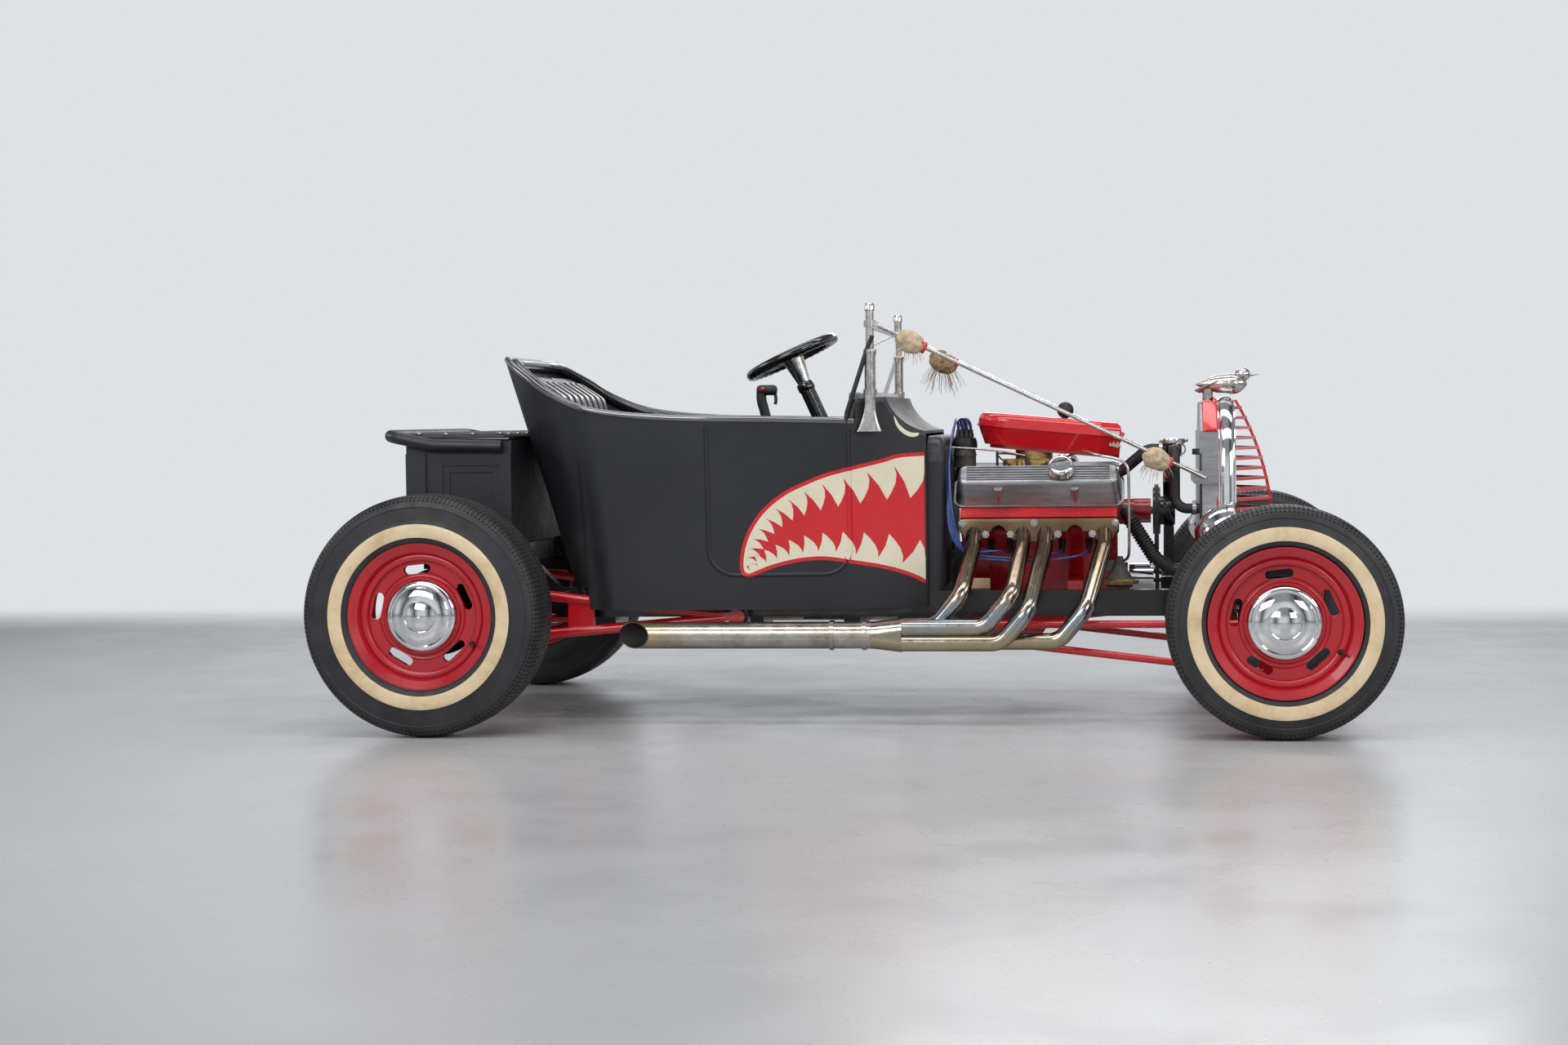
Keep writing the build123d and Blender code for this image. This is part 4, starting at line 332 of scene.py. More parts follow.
# The finish of each material slot of the record.
FINISHES = {slot: made.material for slot, made in {
    "rim_red": painted("rim_satin_red", paint(190, 22, 38), paint(172, 14, 30), 0.33, 0.45),
    "chrome": mottled("chrome_plate", (0.78, 0.79, 0.8, 1), 0.07,
                      ((26, 6, 0.7), (0.3, (0.66, 0.66, 0.66)), (0.62, (0.8, 0.81, 0.82))),
                      ((16, 6, 0.7), 0.4, 0.05, 0.75, 0.15), ((30, 2), 0.0006, 0.05), metal=1.0),
    "frame_black": painted("frame_gloss_black", paint(24, 24, 26), paint(17, 17, 19), 0.3, 0.35),
    "body_black": satin_black(),
    "engine_red": engine_enamel(),
    "rod_red": painted("gloss_red_paint", paint(218, 32, 40), paint(204, 24, 33), 0.25, 0.7),
    "cast_aluminium": cast_aluminium(),
    "header_steel": headers_heat_and_highlight(),
    "pipe_steel": pipe_plate(),
    "cast_grey": mottled("grey_casting", paint(96, 94, 92), 0.6,
                         ((18, 7, 0.7), (0.3, paint(62, 58, 56)), (0.7, paint(118, 116, 112))),
                         bump=((300, 4), 0.0008, 0.5), metal=0.55),
    "upholstery": black_vinyl(),
    "cover_black": cover_vinyl(),
    "glass": window_glass(),
    "rubber": mottled("moulded_black_rubber", paint(30, 30, 31), 0.5,
                      gloss=((30, 5), 0.3, 0.36, 0.75, 0.62), bump=((420, 3), 0.0004, 0.3)),
    "lens_red": lamp_red(),
    # Yellow-gold castings with green and brown bloom.
    "carb_brass": mottled("gold_passivated_casting", paint(176, 150, 92), 0.4,
                          ((34, 6, 0.7), (0.3, paint(92, 74, 44)), (0.5, paint(170, 146, 88)),
                           (0.7, paint(206, 188, 128))), bump=((320, 3), 0.0006, 0.5), metal=0.8),
    "tyre_rubber": mottled("tyre_rubber", paint(38, 38, 40), 0.55,
                           ((12, 6, 0.65), (0.3, paint(28, 28, 30)), (0.72, paint(52, 52, 54))),
                           ((40, 5), 0.3, 0.42, 0.75, 0.66), ((500, 3), 0.0004, 0.3)),
}.items()}

# Finishes of single pieces.
CREAM = mottled("whitewall_cream", paint(226, 203, 166), 0.6,
                ((9, 7, 0.7), (0.28, paint(196, 166, 122)), (0.5, paint(226, 202, 164)),
                 (0.75, paint(238, 220, 188))), bump=((380, 3), 0.0004, 0.3)).material
AGED_CHROME = mottled("aged_chrome", (0.62, 0.6, 0.57, 1), 0.2,
                      ((40, 6, 0.7), (0.35, (0.46, 0.43, 0.4)), (0.7, (0.72, 0.71, 0.7))),
                      ((60, 6, 0.7), 0.3, 0.12, 0.75, 0.4), metal=1.0).material
EDGE_BLACK = metallic(
    painted("rolled_edge_gloss_black", (0.2, 0.2, 0.21, 1), (0.16, 0.16, 0.17, 1), 0.2, 0.9, 0.04), 0.75)
FLANGE_BROWN = metallic(
    painted("heat_browned_flange", paint(150, 128, 96), paint(96, 74, 52), 0.42, 0.0), 0.7)
# Soot, and painted shade inside the pipes' slash-cut ends.
SOOT_AND_SHADE = painted("sooty_shaded_pipe_inside", paint(30, 25, 22), paint(16, 14, 13), 0.7, 0.0).material
GRIP_BLACK = painted("gloss_black_rim", paint(20, 20, 22), paint(14, 14, 16), 0.16, 0.8, 0.05).material
IVORY = painted("ivory_sign_enamel", paint(236, 228, 204), paint(228, 216, 188), 0.3, 0.4).material
MOUTH_RED = painted("red_sign_enamel", paint(212, 30, 40), paint(204, 24, 34), 0.3, 0.4).material
LEAD_BLUE = mottled("blue_lead_sheath", paint(44, 72, 134), 0.34,
                    ((30, 4), (0.3, paint(32, 54, 108)), (0.7, paint(56, 88, 156))), coat=0.3).material


def dress_frame():
    """Each CAD node takes the finish of its material slot, and the bare metal a duller one."""
    for part in frame["record"]["subparts"]:
        for place in frame["nodes"][part["node"]].material_slots:
            place.material = FINISHES[part["material_slot"]]
    for node in ("steering_wheel", "windshield_frame", "ornament"):
        frame["nodes"][node].material_slots[0].material = AGED_CHROME


dress_frame()


# Modelling helpers.
ORIGIN = (0, 0, 0)
UP = (0, 0, 1)
WELD = 0.00005


def object_mode():
    bpy.ops.object.mode_set(mode="OBJECT")


def all_of_it():
    """Selects the whole mesh being edited."""
    bpy.ops.mesh.select_all(action="SELECT")


def deselect():
    if bpy.context.object and bpy.context.object.mode != "OBJECT":
        object_mode()
    bpy.ops.object.select_all(action="DESELECT")


def select_only(piece):
    deselect()
    piece.select_set(True)
    bpy.context.view_layer.objects.active = piece


def edit(piece):
    """The piece alone in edit mode, with all of it selected."""
    select_only(piece)
    bpy.ops.object.mode_set(mode="EDIT")
    all_of_it()


def pen_line(name, points):
    """Points drawn one after another, as with the pen. Leaves the mesh in edit mode."""
    deselect()
    bpy.ops.mesh.primitive_plane_add(size=0.01, location=points[0])
    drawn = bpy.context.object
    drawn.name = name
    bpy.ops.object.transform_apply()
    bpy.ops.object.mode_set(mode="EDIT")
    bpy.ops.mesh.select_mode(type="VERT")
    all_of_it()
    bpy.ops.mesh.merge(type="CENTER")
    here = Vector(points[0])
    for point in points[1:]:
        step = Vector(point) - here
        bpy.ops.mesh.extrude_vertices_move(TRANSFORM_OT_translate={"value": step})
        here = Vector(point)
    return drawn


def turned(name, profile, centre, axis, steps):
    """A lathe piece, left in edit mode: profile is (radius, distance along the axis) from end to end."""
    centre, axis = Vector(centre), Vector(axis).normalized()
    out = axis.orthogonal().normalized()
    drawn = pen_line(name, [centre + out * r + axis * d for r, d in profile])
    all_of_it()
    bpy.ops.mesh.spin(steps=steps, angle=2 * math.pi, center=centre, axis=axis)
    all_of_it()
    bpy.ops.mesh.remove_doubles(threshold=WELD)
    bpy.ops.mesh.normals_make_consistent(inside=False)
    return drawn


def lathe(name, profile, centre, axis, steps):
    made = turned(name, profile, centre, axis, steps)
    object_mode()
    return made


def pick_faces(test):
    """Selects, in edit mode, the faces whose middle passes the test."""
    bpy.ops.mesh.select_all(action="DESELECT")
    bpy.ops.mesh.select_mode(type="FACE")
    mesh = bmesh.from_edit_mesh(bpy.context.object.data)
    for face in mesh.faces:
        if test(sum((v.co for v in face.verts), Vector()) / len(face.verts), face):
            face.select_set(True)
    mesh.select_flush_mode()
    bmesh.update_edit_mesh(bpy.context.object.data)


def push_in(rim, depth, **inset):
    """Insets the selected faces by a rim and moves them along their normals."""
    bpy.ops.mesh.inset(thickness=rim, **inset)
    bpy.ops.mesh.extrude_region_shrink_fatten(TRANSFORM_OT_shrink_fatten={"value": depth})


def finish_piece(piece, slot, sharp, material=None, body="chassis"):
    """Applied, shaded and on its body, with another finish than the slot's where one is given."""
    select_only(piece)
    bpy.ops.object.transform_apply()
    bpy.ops.object.shade_smooth_by_angle(angle=math.radians(sharp))
    piece.data.materials.clear()
    piece.data.materials.append(material or FINISHES[slot])
    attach(piece, body)
    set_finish(piece, slot)
    return piece


def soft_piece(piece, slot, node):
    """A pad in place of its plain CAD solid."""
    finish_piece(piece, slot, 60)
    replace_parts(piece, node)


def smooth(points, steps):
    """A flowing line through the points, as along a draughtsman's spline."""
    run = [Vector(p) for p in points]
    run = [run[0] * 2 - run[1]] + run + [run[-1] * 2 - run[-2]]
    line = []
    for a, b, c, d in zip(run, run[1:], run[2:], run[3:]):
        for k in range(steps):
            t = k / steps
            line.append(0.5 * ((2 * b) + (c - a) * t + (2 * a - 5 * b + 4 * c - d) * t * t
                               + (3 * b - a - 3 * c + d) * t ** 3))
    return line + [run[-2]]


def curve(name, points, curved, steps):
    """A curve by the points, without thickness yet."""
    deselect()
    line = bpy.data.curves.new(name, "CURVE")
    line.dimensions = "3D"
    run = line.splines.new("NURBS" if curved else "POLY")
    run.points.add(len(points) - 1)
    for knot, point in zip(run.points, points):
        knot.co = (*point, 1)
    if curved:
        run.order_u = 3
        run.use_endpoint_u = True
        run.resolution_u = steps
    made = bpy.data.objects.new(name, line)
    bpy.context.scene.collection.objects.link(made)
    return made


def thicken(made, radius, sides):
    made.data.bevel_depth = radius
    made.data.bevel_resolution = sides
    made.data.use_fill_caps = True


def bar(name, points, radius, curved=True, sides=4, steps=6):
    """A round bar, bead or pipe of one thickness along its points."""
    made = curve(name, points, curved, steps)
    thicken(made, radius, sides)
    made.select_set(True)
    bpy.context.view_layer.objects.active = made
    bpy.ops.object.convert(target="MESH")
    return bpy.context.object


LEAD_THICK = 0.007


def lead(name, points, material):
    """An ignition lead with both ends in the engine, kept as a curve."""
    made = curve(name, points, True, 10)
    bpy.context.view_layer.update()
    plain = bpy.data.meshes.new_from_object(made)
    bpy.data.meshes.remove(plain)
    thicken(made, LEAD_THICK / 2, 3)
    made.data.materials.append(material)
    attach(made, "chassis")
    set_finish(made, "rubber")


def made_of(piece, name, shift=ORIGIN, turn=None):
    """A copy with its own mesh, turned about the origin and moved into place."""
    select_only(piece)
    bpy.ops.object.duplicate()
    copy = bpy.context.object
    copy.name = name
    if turn is not None:
        axis, angle = turn
        copy.matrix_world = Matrix.Rotation(angle, 4, Vector(axis)) @ copy.matrix_world
    copy.location = Vector(copy.location) + Vector(shift)
    bpy.ops.object.transform_apply()
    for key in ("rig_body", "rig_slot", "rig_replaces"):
        if key in copy:
            del copy[key]
    copy.parent = None
    return copy


def aimed(piece, name, place, heading):
    """A copy of a piece made along +Z at the origin, set at place and turned to the heading."""
    turn = Vector(UP).rotation_difference(Vector(heading).normalized())
    return made_of(piece, name, place, turn.to_axis_angle())


def mirrored(piece, name):
    """The same piece on the car's other side, with its faces turned outwards again."""
    copy = made_of(piece, name)
    edit(copy)
    bpy.ops.transform.resize(value=(1, -1, 1), center_override=ORIGIN)
    bpy.ops.mesh.flip_normals()
    object_mode()
    return copy


def both_sides(piece, slot, sharp, material=None):
    """Finishes a right-hand piece and its mirror on the left."""
    finish_piece(piece, slot, sharp, material)
    finish_piece(mirrored(piece, piece.name.replace("right", "left")), slot, sharp, material)


def joined(name, pieces):
    deselect()
    for piece in pieces:
        piece.select_set(True)
    bpy.context.view_layer.objects.active = pieces[0]
    if len(pieces) > 1:
        bpy.ops.object.join()
    whole = bpy.context.object
    whole.name = name
    whole.data.name = name
    return whole


def with_modifier(piece, kind, **values):
    select_only(piece)
    bpy.ops.object.modifier_add(type=kind)
    step = piece.modifiers[-1]
    for key, value in values.items():
        setattr(step, key, value)
    bpy.ops.object.modifier_apply(modifier=step.name)


def plate(name, outline, thick, across=(0, 1, 0)):
    """A flat outline filled in and drawn out to a thickness."""
    drawn = pen_line(name, outline)
    all_of_it()
    bpy.ops.mesh.edge_face_add()
    bpy.ops.mesh.extrude_region_move(TRANSFORM_OT_translate={"value": Vector(across) * thick})
    all_of_it()
    bpy.ops.mesh.normals_make_consistent(inside=False)
    object_mode()
    return drawn


def block(name, centre, size, bevel, segments=3):
    """A squared lump with eased edges, to be shaped further."""
    deselect()
    bpy.ops.mesh.primitive_cube_add(size=1, location=centre)
    lump = bpy.context.object
    lump.name = name
    lump.scale = size
    bpy.ops.object.transform_apply()
    with_modifier(lump, "BEVEL", width=bevel, segments=segments)
    return lump


def node_copy(name, nodes):
    """The CAD nodes' surface as one merged mesh, to press other pieces on or to pad out."""
    copies = []
    for node in nodes:
        deselect()
        copy = bpy.data.objects.new(f"{name}_{node}", frame["nodes"][node].data.copy())
        bpy.context.scene.collection.objects.link(copy)
        copies.append(copy)
    whole = joined(name, copies)
    edit(whole)
    bpy.ops.mesh.remove_doubles(threshold=WELD)
    object_mode()
    return whole


def touch(nodes, start, aim):
    """Where a straight line from start along aim first meets these CAD nodes."""
    start, aim = Vector(start), Vector(aim).normalized()
    found = []
    for node in nodes:
        hit, place, _, _ = frame["nodes"][node].ray_cast(start, aim)
        if hit:
            found.append(((place - start).length, place))
    return min(found)[1] if found else None


# Floor and light. The floor fades into the backdrop, and only the camera and glass see the backdrop's colour.
BACKDROP = (0.735, 0.755, 0.785, 1)
FADE_FROM, FADE_TO = 2.9, 4.4
SKY = ((0.0, BACKDROP[:3]), (0.12, (0.74, 0.76, 0.79)), (0.3, (0.66, 0.68, 0.71)), (0.46, (0.3, 0.31, 0.33)),
       (1.0, (0.3, 0.31, 0.34)))
# Bright and dark bands from the rear to the front, for the chrome to mirror.
BANDS = ((0.0, 0.3), (0.10, 1.0), (0.24, 0.12), (0.36, 1.0), (0.56, 1.0), (0.68, 0.1), (0.82, 1.0),
         (1.0, 0.3))
LAMPS = (
    # name, place, aim, size, watts
    ("overhead_near", (0.2, -2.2, 4.2), (0, 0, 0.5), (6.0, 1.1), 80),
    ("overhead_far", (0.2, 0.8, 4.4), (0, 0, 0.4), (6.0, 0.9), 58),
    ("right_box", (-2.2, -5.4, 3.4), (0, 0, 0.5), (3.6, 2.0), 110),
    ("right_front_box", (3.8, -4.8, 2.6), (0.6, 0, 0.5), (1.8, 1.6), 50),
    ("left_box", (1.0, 5.5, 3.2), (0, 0, 0.5), (3.5, 1.6), 60),
    ("front_strip", (5.0, -1.5, 2.4), (0, 0, 0.6), (2.2, 1.0), 34),
    ("rear_strip", (-5.0, -0.5, 2.4), (0, 0, 0.6), (2.2, 1.0), 32),
)

def lay_floor():
    """Pale stone, fading into the backdrop away from the car."""
    deselect()
    bpy.ops.mesh.primitive_grid_add(x_subdivisions=4, y_subdivisions=4, size=60, location=ORIGIN)
    floor = bpy.context.object
    floor.name = "floor"
    stone = mottled("pale_floor", (0.5, 0.505, 0.51, 1), 0.3,
                    ((0.5, 3), (0.3, (0.47, 0.475, 0.485)), (0.7, (0.53, 0.535, 0.54))),
                    ((3, 6), 0.3, 0.2, 0.7, 0.34), specular=0.35)
    wall = stone.node("ShaderNodeEmission")
    wall.inputs["Color"].default_value = BACKDROP
    x, y, _ = stone.axes()
    far = stone.maths("MAXIMUM", y, stone.maths("MULTIPLY", y, -0.55))
    far = stone.maths("MAXIMUM", far, stone.maths("MULTIPLY", stone.maths("ABSOLUTE", x), 0.5))
    edge = stone.node("ShaderNodeMapRange", interpolation_type="SMOOTHSTEP")
    edge.inputs["From Min"].default_value = FADE_FROM
    edge.inputs["From Max"].default_value = FADE_TO
    stone.wire(far, edge.inputs["Value"])
    share = stone.maths("MULTIPLY", edge.outputs["Result"], stone.seen_straight())
    surface = stone.mixed(share, stone.shader.outputs[0], wall.outputs[0])
    stone.wire(surface, stone.tree.nodes["Material Output"].inputs["Surface"])
    floor.data.materials.append(stone.material)


def light_world():
    world = bpy.data.worlds.new("studio")
    bpy.context.scene.world = world
    world.use_nodes = True
    sky = Nodes(world.node_tree)
    split = sky.node("ShaderNodeSeparateXYZ")
    sky.wire(sky.node("ShaderNodeTexCoord").outputs["Generated"], split.inputs[0])
    height = sky.ramp(split.outputs["Z"], *SKY)
    along = sky.maths("MULTIPLY_ADD", split.outputs["X"], 0.5, 0.5)
    panels = sky.ramp(along, *[(at, (value,) * 3) for at, value in BANDS])
    lit = sky.tree.nodes["Background"]
    lit.inputs["Strength"].default_value = 1.0
    sky.wire(sky.blend(1.0, height, panels, "MULTIPLY"), lit.inputs["Color"])
    seen = sky.node("ShaderNodeBackground")
    seen.inputs["Color"].default_value = BACKDROP
    both = sky.mixed(sky.seen_straight(), lit.outputs[0], seen.outputs[0])
    sky.wire(both, sky.tree.nodes["World Output"].inputs["Surface"])


def hang_lamps():
    for name, at, aim, size, power in LAMPS:
        lamp = bpy.data.lights.new(name, "AREA")
        lamp.shape = "RECTANGLE"
        lamp.size, lamp.size_y = size
        lamp.energy = power
        holder = bpy.data.objects.new(name, lamp)
        holder.location = at
        holder.rotation_euler = (Vector(aim) - Vector(at)).to_track_quat("-Z", "Y").to_euler()
        bpy.context.scene.collection.objects.link(holder)


lay_floor()
light_world()
hang_lamps()
bpy.context.scene.view_settings.view_transform = "Standard"


# Body side: raised false-door beads, the painted mouth and the rolled top edge.
SIDE = ("body_sides", "body_cowl", "body_rear")


TUB_LOW, TUB_HIGH = 0.335, 1.080
COWL_X, DOOR_X, TUB_FRONT = -0.008, -0.415, 0.219
DOOR_LOW, DOOR_CORNER = 0.437, 0.075
BEAD_R = 0.0072


def half_width(x, z):
    """The tub's half width at the doors and cowl."""
    rise = (z - TUB_LOW) / (TUB_HIGH - TUB_LOW)
    door, cowl, front = 0.470 + 0.064 * rise, 0.425 + 0.053 * rise, 0.345 + 0.033 * rise
    if x > COWL_X:
        return cowl + (front - cowl) * (x - COWL_X) / (TUB_FRONT - COWL_X)
    return cowl + (door - cowl) * min((COWL_X - x) / (COWL_X - DOOR_X), 1)


def door_bead():
    """One half-round bead down behind the cowl, along under the door and up again."""
    corner, low = DOOR_CORNER, DOOR_LOW
    turns = [math.radians(10 * k) for k in range(1, 9)]
    bend = [(corner * math.cos(turn), corner * math.sin(turn)) for turn in turns]
    line = [(DOOR_X, 0.868), (DOOR_X, low + corner)]
    line += [(DOOR_X + corner - run, low + corner - rise) for run, rise in bend]
    line += [(-0.34, low), (-0.2, low), (COWL_X - corner, low)]
    line += [(COWL_X - corner + rise, low + corner - run) for run, rise in bend]
    line += [(COWL_X, low + corner), (COWL_X, 0.7), (COWL_X, 0.858)]
    points = [(x, -half_width(x, z) + 0.0032, z) for x, z in line]
    return bar("door_bead_right", points, BEAD_R, curved=False, sides=3)


MOUTH_FRONT = 0.2045
MOUTH = (
    (MOUTH_FRONT, 0.788), (0.132, 0.783), (0.086, 0.770), (-0.006, 0.748), (-0.076, 0.730), (-0.135, 0.707),
    (-0.194, 0.679), (-0.254, 0.632), (-0.295, 0.578), (-0.318, 0.524), (-0.327, 0.470), (-0.321, 0.440),
    (-0.299, 0.430), (-0.270, 0.441), (-0.223, 0.458), (-0.152, 0.474), (-0.081, 0.478), (-0.011, 0.468),
    (0.081, 0.451), (0.150, 0.430), (MOUTH_FRONT, 0.404),
)


def inside(line, depth):
    """The same open line moved to its right hand, which is into the mouth."""
    moved = []
    for k, point in enumerate(line):
        ahead = line[min(k + 1, len(line) - 1)] - line[max(k - 1, 0)]
        away = Vector((-ahead.y, ahead.x)).normalized()
        moved.append(point + away * (depth(k / (len(line) - 1)) if callable(depth) else depth))
    return moved


def spot(line, share):
    """A place along a line, and the line's heading there."""
    steps = [(b - a).length for a, b in zip(line, line[1:])]
    left = share * sum(steps)
    for a, b, step in zip(line, line[1:], steps):
        if left <= step:
            return a.lerp(b, left / step), (b - a).normalized()
        left -= step
    return line[-1], (line[-1] - line[-2]).normalized()


# How a tooth's front edge bulges: share of the way from tip to gum, and how far out.
TOOTH_BELLY = ((0.2, 0.13), (0.45, 0.21), (0.72, 0.17))


def jaw(line, count, growth, longest, lean, side):
    """Teeth along a lip, small at the back and larger forwards, as points from back to front."""
    sizes = [growth ** k for k in range(count)]
    whole = sum(sizes)
    points, at = [], 0.0
    for size in sizes:
        a, _ = spot(line, at / whole)
        b, _ = spot(line, min((at + size) / whole, 1))
        at += size
        base = b - a
        inward = Vector((-base.y, base.x)).normalized() * side
        tip = a + base * lean + inward * longest * (size / sizes[-1]) ** 0.85
        points += [a, a.lerp(tip, 0.5) + base * 0.07, tip]
        points += [tip.lerp(b, share) + base * out for share, out in TOOTH_BELLY]
    return points + [line[-1]]


# Where a flat patch is cut so that it bends with the tub, closely where it crosses a bead.
OVER_BEAD = (-0.008, -0.0065, -0.0045, -0.0025, 0, 0.0025, 0.0045, 0.0065, 0.008)
SIDE_CUTS = [k * 0.022 for k in range(-16, 11)] + [COWL_X + step for step in OVER_BEAD]
BEAD_CUTS = [DOOR_LOW + step for step in OVER_BEAD] + [0.46 + 0.03 * k for k in range(12)]


def painted_patch(name, outline, form, lift, cuts=SIDE_CUTS, heights=BEAD_CUTS):
    """A flat patch cut to its outline, then laid on the side of what carries it."""
    patch = pen_line(name, [(p[0], -0.66, p[1]) for p in outline])
    all_of_it()
    bpy.ops.mesh.edge_face_add()
    bpy.ops.mesh.quads_convert_to_tris(ngon_method="BEAUTY")
    for place, across in [((x, 0, 0), (1, 0, 0)) for x in cuts] + [((0, 0, z), UP) for z in heights]:
        all_of_it()
        bpy.ops.mesh.bisect(plane_co=place, plane_no=across)
    all_of_it()
    bpy.ops.mesh.quads_convert_to_tris(ngon_method="BEAUTY")
    bpy.ops.mesh.normals_make_consistent(inside=False)
    object_mode()
    with_modifier(patch, "SHRINKWRAP", target=form, wrap_method="PROJECT", use_project_y=True,
                  use_project_x=False, use_project_z=False, use_positive_direction=True,
                  use_negative_direction=False, offset=lift, wrap_mode="ABOVE_SURFACE")
    if patch.data.polygons[0].normal.y > 0:
        patch.data.flip_normals()
    return patch


def teeth_outline(rim):
    """The ivory shape between the lip's edge and the tips of both rows of teeth."""
    back = min(range(len(rim)), key=lambda k: rim[k].x + rim[k].y)
    lip = inside(rim, 0.011)
    top_line = inside(rim[: back + 1], lambda t: 0.030 - 0.012 * t)[::-1][5:]
    low_line = inside(rim[back:], lambda t: 0.018 + 0.014 * t)[5:]
    for line, end in ((top_line, -1), (low_line, -1), (lip, 0), (lip, -1)):
        line[end] = Vector((MOUTH_FRONT, line[end].y))
    upper_teeth = jaw(top_line, 13, 1.11, 0.100, 0.42, -1)
    lower_teeth = jaw(low_line, 11, 1.12, 0.082, 0.2, 1)
    return [Vector((min(p.x, MOUTH_FRONT), p.y)) for p in lip + lower_teeth[::-1] + upper_teeth]


# The brushed comma on the cowl, from its thin top to its heel.
STROKE = ((0.121, 0.893), (0.130, 0.868), (0.146, 0.849), (0.166, 0.838), (0.182, 0.8375), (0.190, 0.842))


def stroke_outline():
    line = smooth([Vector(p) for p in STROKE], 4)
    last = len(line) - 1
    widths = [0.0008 + 0.0072 * math.sin(math.pi * min(k / last * 0.92, 1)) ** 0.7 for k in range(last + 1)]
    outer = inside(line, lambda t: widths[round(t * last)])
    inner = inside(line, lambda t: -widths[round(t * last)] * 0.6)
    return outer + inner[::-1]


def painted_mouth(bead):
    """Red gums and an ivory lip with hooked teeth, brushed on the cowl and door, and the cowl's stroke."""
    spare = made_of(bead, "bead_form")
    form = joined("side_form", [node_copy("side_form", SIDE), spare])
    rim = smooth([Vector(p) for p in MOUTH], 5)
    gum = painted_patch("mouth_gum_right", rim, form, 0.0007)
    teeth = painted_patch("mouth_teeth_right", teeth_outline(rim), form, 0.0014)
    comma = painted_patch("cowl_stroke_right", stroke_outline(), form, 0.0008)
    bpy.data.objects.remove(form)
    both_sides(gum, "rod_red", 20, MOUTH_RED)
    both_sides(teeth, "tyre_rubber", 20, IVORY)
    both_sides(comma, "tyre_rubber", 20, IVORY)


TUB_TOP = ((0.008, 0.880), (-0.209, 0.887), (-0.422, 0.892), (-0.565, 0.898), (-0.711, 0.912),
           (-0.807, 0.934), (-0.908, 0.981), (-0.961, 1.018), (-1.002, 1.045), (-1.043, 1.073))


def tub_edge():
    """The rolled lip along the top of both sides and round the back, and the padded roll inside it."""
    line = []
    for point in smooth([Vector((p[0], p[1], 0)) for p in TUB_TOP], 3):
        place = touch(SIDE, (point.x, -1, point.y - 0.006), (0, 1, 0))
        if place is not None:
            line.append(Vector((point.x, place.y + 0.004, point.y)))
    tail = line[-1]
    for y in [tail.y * share for share in (0.93, 0.85, 0.75, 0.6, 0.4, 0.2, 0)]:
        place = touch(SIDE, (-2, y, tail.z - 0.006), (1, 0, 0))
        if place is not None and place.x < tail.x:
            line.append(Vector((place.x + 0.004, y, min(1.078, tail.z + 0.004))))
    whole = line + [Vector((p.x, -p.y, p.z)) for p in reversed(line[:-1])]
    lip = bar("tub_edge_roll", whole, 0.0098, sides=6, steps=4)
    finish_piece(lip, "body_black", 60, EDGE_BLACK)
    inner = []
    for point in whole:
        middle = Vector((-0.55 if point.x < -0.62 else point.x, 0, point.z))
        inward = (middle - point).normalized()
        inner.append(point + inward * 0.024 - Vector((0, 0, 0.012)))
    roll = bar("cockpit_roll", inner, 0.0165, sides=6, steps=4)
    finish_piece(roll, "upholstery", 60)


def dress_body():
    bead = door_bead()
    painted_mouth(bead)
    both_sides(bead, "body_black", 60)
    tub_edge()


dress_body()


# Seat: the back and cushion are stuffed from their solids, then sewn into pleats.
def stuff(pad, swell):
    """Blows the cloth up with a little pressure, but no further than the swell."""
    start = [v.co.copy() for v in pad.data.vertices]
    cloth = pad.modifiers.new("stuffing", "CLOTH")
    cloth.settings.use_pressure = True
    cloth.settings.uniform_pressure_force = 4
    cloth.settings.effector_weights.gravity = 0
    cloth.settings.quality = 4
    for moment in range(1, 21):
        bpy.context.scene.frame_set(moment)
    select_only(pad)
    bpy.ops.object.modifier_apply(modifier="stuffing")
    bpy.context.scene.frame_set(1)
    for vertex, old in zip(pad.data.vertices, start):
        step = vertex.co - old
        if step.length > swell:
            vertex.co = old + step.normalized() * swell


def stuffed(name, node, voxel, swell, inset, fine):
    """A soft copy of a plain CAD solid, drawn in first so that it can swell."""
    pad = node_copy(name, (node,))
    edit(pad)
    bpy.ops.transform.shrink_fatten(value=-inset)
    object_mode()
    with_modifier(pad, "REMESH", mode="VOXEL", voxel_size=voxel)
    stuff(pad, swell)
    with_modifier(pad, "SMOOTH", factor=0.5, iterations=6)
    if fine:
        with_modifier(pad, "SUBSURF", levels=fine, render_levels=fine)
    return pad


def pleated(pad, faces, along, pitch, half, deep):
    """Sewn channels: the padding is drawn in along straight seams, and stands full between them."""
    normals = [v.normal.copy() for v in pad.data.vertices]
    for vertex, normal in zip(pad.data.vertices, normals):
        if not faces(vertex.co, normal):
            continue
        across = vertex.co[along]
        if abs(across) > half:
            continue
        share = abs(math.sin(math.pi * (across / pitch + 0.5)))
        ease = min(1, (half - abs(across)) / (pitch * 0.4))
        vertex.co -= normal * deep * (1 - share) ** 2.2 * ease
        vertex.co += normal * deep * 0.25 * share * ease


def seat():
    for node, front, deep in (("seat_back", lambda p, n: n.x > 0.25 and p.z < 1.01, 0.013),
                              ("seat_cushion", lambda p, n: n.z > 0.3 or n.x > 0.5, 0.012)):
        pad = stuffed(f"{node}_pad", node, 0.009, 0.014, 0.006, 1)
        pleated(pad, front, 1, 0.082, 0.41, deep)
        soft_piece(pad, "upholstery", node)


seat()


